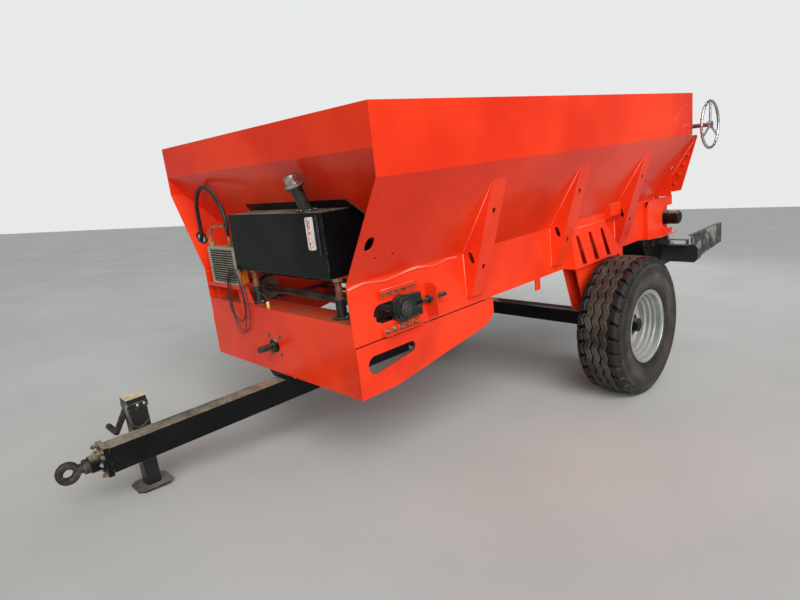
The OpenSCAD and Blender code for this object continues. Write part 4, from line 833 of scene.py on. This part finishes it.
def tyreMesh(side):
    s = tyreLook
    # smooth half section, measured along its own line
    half = smoothPath(s["section"], 8)
    arc = distances(half)
    # lateral lines: dense at the groove walls and over the shoulder
    g, w, wall = s["grooves"], s["grooveHalf"], s["wall"]
    lines = [0.0]
    for c in g[2:]:
        lines += [c - w, c - w + wall, c, c + w - wall, c + w]
    for low, high, count in ((0.0055, g[2] - w - 0.005, 3), (g[2] + w + 0.005, g[3] - w - 0.005, 6),
                             (g[3] + w + 0.004, 0.178, 22), (0.183, arc[-1], 20)):
        lines += list(np.linspace(low, high, count))
    lines = np.array(sorted(lines))
    a = np.concatenate([-lines[:0:-1], lines])
    u = np.linspace(0, s["periods"], s["periods"] * s["steps"], endpoint=False)
    f = u % 1.0
    # zigzag shifts the whole tread sideways, fading over the shoulder
    zig = s["zigzag"] * (4 * np.abs(f - 0.5) - 1)
    fade = ramp(s["fadeEnd"] - np.abs(a), s["fade"])
    place = a[None, :] + zig[:, None] * fade[None, :]
    reach = np.abs(place)
    h = np.interp(reach, arc, half[:, 0]) * np.sign(place)
    r = np.interp(reach, arc, half[:, 1])
    # outward normal of the section at each line
    ahead, behind = reach + 0.001, np.maximum(reach - 0.001, 0)
    dh, dr = [np.interp(ahead, arc, half[:, k]) - np.interp(behind, arc, half[:, k]) for k in (0, 1)]
    size = np.hypot(dh, dr) + 1e-9
    nh, nr = -dr / size * np.sign(place), dh / size
    nh, nr = np.where(reach < 0.002, 0, nh), np.where(reach < 0.002, 1, nr)
    depth = np.zeros_like(place)
    for c in g:
        depth = np.maximum(depth, s["grooveDeep"] * ramp(w - np.abs(a - c), wall)[None, :])
    # notches between the shoulder lugs run outwards at a slant and fork at their ends
    edge = g[3] + w
    out = np.clip((np.abs(a) - edge) / (s["lugEnd"] - edge), 0, 1)[None, :]
    phase = (f[:, None] + np.where(a > 0, 0.0, 0.5)[None, :] + 0.30 * out) % 1.0
    period = 2 * np.pi * s["radius"] / s["periods"]
    off = np.abs(phase - 0.5) * period
    inLug = (np.abs(a) > edge - 0.001)[None, :] & (np.abs(a) < s["lugEnd"])[None, :]
    open1 = ramp(0.0125 - 0.003 * out - off, 0.005) * ramp(0.98 - out, 0.1)
    fork = ramp(0.0026 - np.abs(off - 0.0055), 0.0016) * ramp(out - 0.55, 0.1) * ramp(1.0 - out, 0.05)
    notch = np.maximum(s["notchDeep"] * open1 * (1 - 0.5 * out), 0.0045 * fork)
    depth = np.maximum(depth, np.where(inLug, notch, 0))
    # a thin cut in the middle of each lug, and sipes from the grooves into the ribs
    cutMid = ramp(0.0022 - np.abs((phase - 0.02) * period), 0.0012) * ramp(out - 0.45, 0.1) * ramp(0.9 - out, 0.1)
    depth = np.maximum(depth, np.where(inLug, 0.003 * cutMid, 0))
    for c in g:
        for way, turn in ((1, 0.5), (-1, 0.0)):
            d = (a[None, :] - c) * way - w
            centre = (turn + 0.32 * d / 0.02) * period
            gap = np.abs(((f[:, None] * period - centre + period / 2) % period) - period / 2)
            sipe = ramp(0.0034 - gap, wall) * ((d > -0.001) & (d < 0.0175))
            depth = np.maximum(depth, np.where(np.abs(a)[None, :] < edge + 0.014, 0.006 * sipe, 0))
    # fine raised and sunk rings on the sidewall
    flat = np.abs(a)[None, :]
    for at, deep in s["rings"]:
        depth = depth + deep * np.exp(-(((flat - at) / 0.0034) ** 2))
    h, r = h - nh * depth, r - nr * depth
    # close the section across the bead seat
    rows = len(u)
    seatH = np.array([s["bead"] - 0.006, 0.04, -0.04, -s["bead"] + 0.006])
    h = np.hstack([h, np.broadcast_to(seatH[None, :], (rows, 4))])
    r = np.hstack([r, np.full((rows, 4), s["beadRadius"])])
    # dust: brown on the tread's tops, grey on the lugs, paler again low on the sidewall
    top = 1 - ramp(depth, 0.003)
    shoulder = np.where(flat < s["lugEnd"], 0.15 * top + 0.02, np.interp(flat, s["dustAt"], s["dust"]))
    dust = np.where(flat < 0.088, 0.8 * top, shoulder)
    dust = np.hstack([dust, np.zeros((rows, 4))])
    # painted shade: each groove and notch is marked darker the deeper it is cut
    dark = np.hstack([ramp(depth, 0.008), np.zeros((rows, 4))])
    angle = 2 * np.pi * u / s["periods"]
    x, z = r * np.cos(angle)[:, None], r * np.sin(angle)[:, None]
    y = side * s["middleY"] + h
    points = np.stack([x + axlePoint[0], y, z + axlePoint[2]], -1).reshape(-1, 3)
    faces = gridFaces(rows, h.shape[1], True, True)[:, ::-1]
    return (points, [faces]), {"dust": dust.ravel(), "depth": dark.ravel()}


for sideName, side in (("left", 1), ("right", -1)):
    shape, wear = tyreMesh(side)
    tyre = makePiece("treadedTyre." + sideName, shape, finishOf["tyre_rubber"], "wheel_" + sideName,
                     attributes=wear)
    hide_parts("tyre_" + sideName)
print("tyres made")


def hexBolt(radius):
    # washer turned with 18 sides, head with 6, chamfered on top, and the screw's end in it
    washer = lathe([(0, 0), (1.45, 0), (1.45, 0.16), (1.38, 0.22), (0, 0.22)], 18, scale=radius)
    head = lathe([(0, 0.2), (1, 0.2), (1, 0.82), (0.86, 0.95), (0, 0.95)], 6, scale=radius)
    end = lathe([(0, 0.9), (0.5, 0.9), (0.5, 1.25), (0.42, 1.32), (0, 1.32)], 10, scale=radius)
    return join([washer, head, end])


def domeRivet(radius):
    # radius times cos a out, 0.4 radius times sin a up
    a = np.linspace(0, np.pi / 2, 6)
    return lathe(np.column_stack([radius * np.cos(a), 0.4 * radius * np.sin(a)]), 14)


def placeBolts(name, finish, groups, body="machine", shape=hexBolt):
    # groups of (places, direction, radius), all in one piece
    parts = [copiesAt(shape(radius), places, direction) for places, direction, radius in groups]
    makePiece(name, join(parts), finish, body, smooth=False)


def webAt(deep):
    # outer edge of the rear web at a depth: straight from the band down to its foot
    return 0.994 - (deep - 0.314) * (0.994 - slopeAt(0.711) - 0.147) / 0.388


def ringAt(centre, across, up, radius, turns):
    # centre + radius * (across * cos t + up * sin t), at each turn t
    centre, across, up = (np.array(v, float) for v in (centre, across, up))
    return [centre + radius * (across * math.cos(t) + up * math.sin(t)) for t in turns]


sixths = np.arange(6) * math.pi / 3
rollerLook = {"front": -0.300, "rear": -3.250, "z": -0.918}
discLook = {"x": -3.520, "y": 0.350, "under": -1.272, "top": -1.191, "ring": 0.045}
# rings of nuts and small screws on a wheel: count, ring, out from the tyre's middle, first turn, radius
wheelBolts = ((10, 0.104, -0.030, 0.2, 0.010), (4, 0.071, 0.020, np.pi / 4, 0.0055))
guideBolts = {"x": [-0.198 - 0.047 * k for k in range(5)], "z": (-1.008, -0.828), "face": 0.716}
placeBolts("boltsGuides", brass, [
    ([(x, side * guideBolts["face"], z) for x in guideBolts["x"] for z in guideBolts["z"]], (0, side, 0), 0.0105)
    for side in (1, -1)
])
apron = [(0, -0.051, -1.078), (0, 0.062, -1.074), (0, -0.050, -1.179), (0, 0.054, -1.178)]
placeBolts("boltsApron", brass, [(apron, (1, 0, 0), 0.009)])
flange = [(0.9503 + lift, y, z) for lift in (0, 0.0125) for y in (0.046, -0.046) for z in (-1.3265, -1.4355)]
placeBolts("boltsFlange", brass, [(flange, (1, 0, 0), 0.0095)])
placeBolts("boltsPacking", paleSteel, [
    ([(-0.030, y, -1.3010), (-0.120, y, -1.3010)], (0, 0, -1), 0.009) for y in (0.098, -0.098)
] + [([(0.964, 0.054, -1.382), (0.964, -0.054, -1.382)], (1, 0, 0), 0.009)])
webs = [(-3.200, side * (slopeAt(d) + webAt(d)) / 2, -d) for d in (0.44, 0.51, 0.58, 0.65) for side in (1, -1)]
placeBolts("boltsWebs", red, [(webs, (1, 0, 0), 0.011)])
placeBolts("boltsRollers", darkSteel, [
    ([(rollerLook["rear"] + dx, y, rollerLook["z"]) for dx in (-apart, apart)], (0, y, 0), radius)
    for y, apart, radius in ((0.7263, 0.078, 0.011), (-0.7243, 0.066, 0.009))
])
placeBolts("boltsDeck", darkSteel, [
    ([(x, side * 0.726, z) for x in (-3.300, -3.170, -3.040) for z in (-1.075, -1.105)], (0, side, 0), 0.009)
    for side in (1, -1)
] + [([(discLook["x"] + dx, side * discLook["y"] + dy, discLook["under"])
       for dx, dy in ((0.062, 0), (-0.062, 0), (0, 0.062), (0, -0.062)) for side in (1, -1)], (0, 0, -1), 0.007)])
placeBolts("boltsFiller", paleSteel, [
    (ringAt((-0.055, 0.412, -0.409), (1, 0, 0), (0, 1, 0), 0.042, sixths + 0.3), (0, 0, 1), 0.0042),
    ([(-0.070, y + dy, -0.919) for y in (0.555, -0.222) for dy in (0.036, -0.036)], (0, 0, 1), 0.006),
])
capTurn = np.array([math.sin(fillerLook["tilt"]), 0, math.cos(fillerLook["tilt"])])
capSide = np.array([capTurn[2], 0, -capTurn[0]])
capPlate = np.array(fillerLook["foot"]) + capTurn * fillerLook["plate"]
placeBolts("screwsFillerPlate", darkSteel, [
    (ringAt(capPlate, capSide, (0, 1, 0), fillerLook["screws"], sixths), -capTurn, 0.004),
])
placeBolts("rivetsJack", paleSteel, [
    ([(x, -0.0446, -1.2075) for x in (0.709, 0.7405)], (0, 1, 0), 0.0072),
    ([(0.7879, -0.066, -1.2075)], (1, 0, 0), 0.0066),
], shape=domeRivet)


for sideName, side in (("left", 1), ("right", -1)):
    nuts = []
    for count, ring, out, start, radius in wheelBolts:
        centre = (axlePoint[0], side * (tyreLook["middleY"] + out), axlePoint[2])
        turns = np.arange(count) * 2 * np.pi / count + start
        nuts.append((ringAt(centre, (1, 0, 0), (0, 0, 1), ring, turns), (0, side, 0), radius))
    placeBolts("wheelNuts." + sideName, darkSteel, nuts, "wheel_" + sideName)
for sideName, side in (("left", 1), ("right", -1)):
    centre = (discLook["x"], side * discLook["y"], discLook["top"])
    places = ringAt(centre, (1, 0, 0), (0, 1, 0), discLook["ring"], sixths)
    placeBolts("discBolts." + sideName, darkSteel, [(places, (0, 0, 1), 0.006)],
               "spinner_" + sideName)
print("bolts placed")


def bead(path, width, wave, seed):
    # a tube along the seam; its radius is the width times one plus a short and a long sine
    p = smoothPath(path, 2)
    at, line = evenly(p, max(12, int(pathLength(p) / 0.004)))
    line[:, 2] += wave * (np.sin(at * 23 + seed) * 0.5 + np.sin(at * 9.0 + 2 * seed) * 0.5)
    radius = width * (1 + 0.16 * np.sin(at * 2 * np.pi / 0.008) + 0.25 * np.sin(at * 31 + seed))
    points, faces = tube(line, radius, 6)
    # painted highlight: how much paler each stretch of the bead is, strongest where its ripples crest
    crestHighlight = np.repeat(0.35 + 0.3 * np.sin(at * 2 * np.pi / 0.008) + 0.3 * np.sin(at * 17 + seed), 6)
    return points, faces, np.concatenate([crestHighlight, [0.3, 0.3]])


seamLook = {
    "crest": [(-0.004, -0.764), (-0.10, -0.752), (-0.22, -0.768), (-0.33, -0.758), (-0.44, -0.749), (-0.56, -0.766),
              (-0.66, -0.752), (-0.735, -0.757)],
    "level": [((-0.190, -0.290, -0.410), -0.809, 0.0035, 2.0), ((-0.190, -0.290, -0.410), -1.027, 0.0030, 3.0),
              ((-1.852, -2.08, -2.298), -0.799, 0.0035, 5.0)],
}


def weldSeams():
    # each row: the seam's points on the left side, its width, wave and seed
    rows = [([(x, 0.7112, z) for x, z in seamLook["crest"]], 0.0055, 0.0, 1.0)]
    for xs, z, width, seed in seamLook["level"]:
        rows.append(([(x, 0.712, z) for x in xs], width, 0.001, seed))
    rows.append(([(-0.487, 0.712, z) for z in (-0.838, -0.918, -0.998)], 0.0035, 0.0, 4.0))
    rows.append(([(-3.1985, slopeAt(0.32), -0.330)] + [(-3.1985, slopeAt(d) + 0.001, -d) for d in (0.5, 0.70)],
                 0.0035, 0.0, 6.0))
    for k in range(3):
        for x in (-0.790 - 0.830 * k + 0.002, -0.905 - 0.830 * k - 0.002):
            rows.append(([(x, slopeAt(d) + 0.001, -d) for d in (0.39, 0.56, 0.735)], 0.0030, 0.0, k + x))
            rows.append(([(x, 0.7110, z) for z in (-0.752, -0.87, -0.985)], 0.0030, 0.0, k - x))
    seams = [bead([(x, side * y, z) for x, y, z in path], *form) for side in (1, -1) for path, *form in rows]
    # the beads' painted highlight, kept on the mesh for the material
    crestHighlight = np.clip(np.concatenate([r for p, f, r in seams]), 0, 1)
    makePiece("weldSeams", join([(p, f) for p, f, r in seams]), weldFinish,
              attributes={"crestHighlight": crestHighlight})


weldSeams()
print("seams welded")


def ovalPath(long, radius, count=48):
    # a slot's outline in its own plane: two half circles joined by straight runs
    a = np.linspace(0, 2 * np.pi, count, endpoint=False)
    v = radius * np.cos(a)
    u = radius * np.sin(a) + np.sign(np.sin(a)) * (long / 2 - radius)
    return u, v


def cheekEdging():
    # thick rubber edging round the far cheek's oval hole, lying in the slope's plane
    u, v = ovalPath(0.076, 0.026)
    down = np.array([0, math.sin(slopeTilt), -math.cos(slopeTilt)])
    centre = np.array([-0.068, -slopeAt(0.566), -0.566])
    path = centre + u[:, None] * down + v[:, None] * np.array([1.0, 0, 0])
    shape = tube(path, 0.0085, 10, True, (0, -math.cos(slopeTilt), -math.sin(slopeTilt)))
    makePiece("cheekEdging", shape, rubber)


def gaugeCover():
    # pale guard over the gauge: two rounded rails and end caps round the window
    rails = [slab((0.001, y - 0.0035, -0.585), (0.019, y + 0.0035, -0.439), 0.003) for y in (0.4925, 0.5275)]
    ends = [slab((0.0095, 0.4955, z), (0.021, 0.5245, z + 0.016), 0.003) for z in (-0.588, -0.452)]
    grey = plainPlastic("coverGrey", (168, 166, 160), (206, 204, 198), 0.34, 0.2)
    makePiece("gaugeCover", join(rails + ends), grey, smooth=False)
    makePiece("gaugeStrip", slab((0.0004, 0.553, -0.610), (0.006, 0.567, -0.430)), rubber,
              smooth=False)


def jackFittings():
    # a folded band under the jack's cap, and the pin chain that hangs from it
    x0, x1, y0, y1, thick = 0.6955, 0.7845, -0.1365, -0.0480, 0.0035
    sheets = [(x0, y1, x1, y1 + thick), (x0, y0 - thick, x1, y0),
              (x0 - thick, y0 - thick, x0, y1 + thick), (x1, y0 - thick, x1 + thick, y1 + thick)]
    band = [slab((xa, ya, -1.222), (xb, yb, -1.1945), 0.001) for xa, ya, xb, yb in sheets]
    makePiece("jackBand", join(band), finishByNode["jack_tube"], smooth=False)
    route = smoothPath([
        (0.7920, -0.052, -1.214), (0.7935, -0.046, -1.236), (0.790, -0.0425, -1.262), (0.7795, -0.0425, -1.292),
        (0.768, -0.0425, -1.3065), (0.750, -0.0425, -1.3115), (0.728, -0.0425, -1.3065), (0.712, -0.0425, -1.294),
    ], 8)
    # each link is an oval about its point, turned a quarter from the one before it
    at, line = evenly(route, int(pathLength(route) / 0.0088))
    run = np.gradient(line, axis=0)
    a = np.linspace(0, 2 * np.pi, 12, endpoint=False)
    links = []
    for i in range(len(line)):
        t = run[i] / np.linalg.norm(run[i])
        side = np.cross(t, (0, 1, 0) if i % 2 else (0.3, 0.2, 1.0))
        side /= np.linalg.norm(side)
        ring = line[i] + 0.0064 * np.cos(a)[:, None] * t + 0.0036 * np.sin(a)[:, None] * side
        links.append(tube(ring, 0.0010, 6, True, np.cross(t, side)))
    makePiece("jackChain", join(links), steel)


def greaseNipples():
    # small nipples on the bearings: a hexagon, a neck and a round tip
    shape = lathe([(0, 0), (0.0045, 0), (0.0045, 0.004), (0.0026, 0.005), (0.0026, 0.008), (0.0034, 0.0095),
                   (0.0026, 0.012), (0, 0.0125)], 8)
    x, z = rollerLook["front"] + 0.030, rollerLook["z"] + 0.036
    parts = [copiesAt(shape, (x, side * 0.7545, z), (0.4, side, 0.6)) for side in (1, -1)]
    parts.append(copiesAt(shape, (0.982, 0, -1.342), (0, 0, 1)))
    makePiece("greaseNipples", join(parts), brass)


def gateBearings():
    # two-bolt flange bearings of the gate's cross shaft, outside the plates
    profile = [(0.0156, 0), (0.034, 0), (0.034, 0.006), (0.026, 0.010), (0.0225, 0.018), (0.0156, 0.018)]
    body = lathe(profile, 28, True)
    parts = []
    for side in (1, -1):
        base = np.array([-3.195, side * 0.908, -0.236])
        parts.append(copiesAt(body, base, (0, side, 0)))
        parts.append(copiesAt(hexBolt(0.007), base + np.array([(0, 0, 0.040), (0, 0, -0.040)]), (0, side, 0)))
    makePiece("gateBearings", join(parts), finishOf["green_iron"])


def bearingCollars():
    # pale locking rings on the take-up bearings, just inside the cast ring
    ring = lathe([(0.0258, 0), (0.034, 0), (0.035, 0.003), (0.034, 0.0085), (0.0258, 0.0085)], 32, True)
    end = lathe([(0, 0), (0.0235, 0), (0.0235, 0.0125), (0.0215, 0.0145), (0.006, 0.0145), (0.003, 0.010),
                 (0, 0.010)], 32)
    parts = []
    for side in (1, -1):
        at = (rollerLook["front"], side * 0.7604, rollerLook["z"])
        parts += [copiesAt(shape, at, (0, side, 0)) for shape in (ring, end)]
    makePiece("bearingCollars", join(parts), darkSteel)


for fit in (cheekEdging, gaugeCover, jackFittings, greaseNipples, gateBearings, bearingCollars):
    fit()
print("fittings made")


floorLook = {"size": 60.0, "rings": 14, "sides": 72, "light": sRgb(190, 192, 188), "dark": sRgb(182, 184, 180)}
sunLook = {"from": (0.47, 0.755, 0.46), "power": 3.55, "angle": 60.0}
lightLook = {
    "top": {"at": (-1.0, 0.5, 7.5), "size": (9.0, 6.0), "power": 90},
    "strip": {"at": (3.5, 6.0, 5.0), "size": (5.0, 0.5), "power": 60},
    "rear": {"at": (-8.5, -4.0, 4.0), "size": (5.0, 3.0), "power": 110},
}
lampAim = (-0.4, 0.0, 1.0)
worldLook = {"soft": (0.92, 0.96, 1.0, 1), "strength": 0.22, "shown": sRgb(232, 234, 234)}


def makeFloor():
    # rings of points about the middle; each ring's radius grows with the square of its number
    rings, sides = floorLook["rings"], floorLook["sides"]
    ring = np.linspace(0.02, 1, rings) ** 2 * floorLook["size"]
    turn = np.linspace(0, 2 * np.pi, sides, endpoint=False)
    x, y = np.outer(ring, np.cos(turn)), np.outer(ring, np.sin(turn))
    points = np.stack([x, y, np.zeros((rings, sides))], -1).reshape(-1, 3)
    mesh = bpy.data.meshes.new("floor")
    mesh.from_pydata(points.tolist(), [],
                     gridFaces(rings, sides, False, True)[:, ::-1].tolist() + [list(range(sides))])
    floor = addObject("floor", mesh)
    f = Finish("floorPale")
    f.colour = f.mix(f.spread(0.3, 0.7, 0.8, 4), floorLook["dark"], floorLook["light"])
    mesh.materials.append(f.done(0.85, f.grain(0.03, 0.002, 30, 3)))


def makeLights():
    for name, look in lightLook.items():
        data = bpy.data.lights.new(name, "AREA")
        data.shape = "RECTANGLE"
        data.size, data.size_y = look["size"]
        data.energy = look["power"]
        # the lamp's z points back from the aim, its x lies level
        z = np.array(look["at"]) - np.array(lampAim)
        z = z / np.linalg.norm(z)
        x = np.cross((0, 0, 1), z)
        x = x / np.linalg.norm(x)
        addObject(name, data).matrix_world = placed(np.column_stack([x, np.cross(z, x), z]), look["at"])
    data = bpy.data.lights.new("window", "SUN")
    data.energy, data.angle = sunLook["power"], math.radians(sunLook["angle"])
    addObject("window", data).matrix_world = placed(turnTo(sunLook["from"]), (0, 0, 0))


def makeWorld():
    world = bpy.data.worlds.new("studio")
    bpy.context.scene.world = world
    world.use_nodes = True
    tree = world.node_tree
    tree.nodes.clear()
    out = tree.nodes.new("ShaderNodeOutputWorld")
    mixed, rays = tree.nodes.new("ShaderNodeMixShader"), tree.nodes.new("ShaderNodeLightPath")
    # the soft sky lights the machine, and the pale one is what the camera sees
    for index, colour, strength in ((1, worldLook["soft"], worldLook["strength"]), (2, worldLook["shown"], 1.0)):
        sky = tree.nodes.new("ShaderNodeBackground")
        sky.inputs["Color"].default_value, sky.inputs["Strength"].default_value = colour, strength
        tree.links.new(sky.outputs[0], mixed.inputs[index])
    tree.links.new(rays.outputs["Is Camera Ray"], mixed.inputs[0])
    tree.links.new(mixed.outputs[0], out.inputs["Surface"])


makeFloor()
makeLights()
makeWorld()
bpy.context.scene.view_settings.view_transform = "Standard"
print("floor and light set")
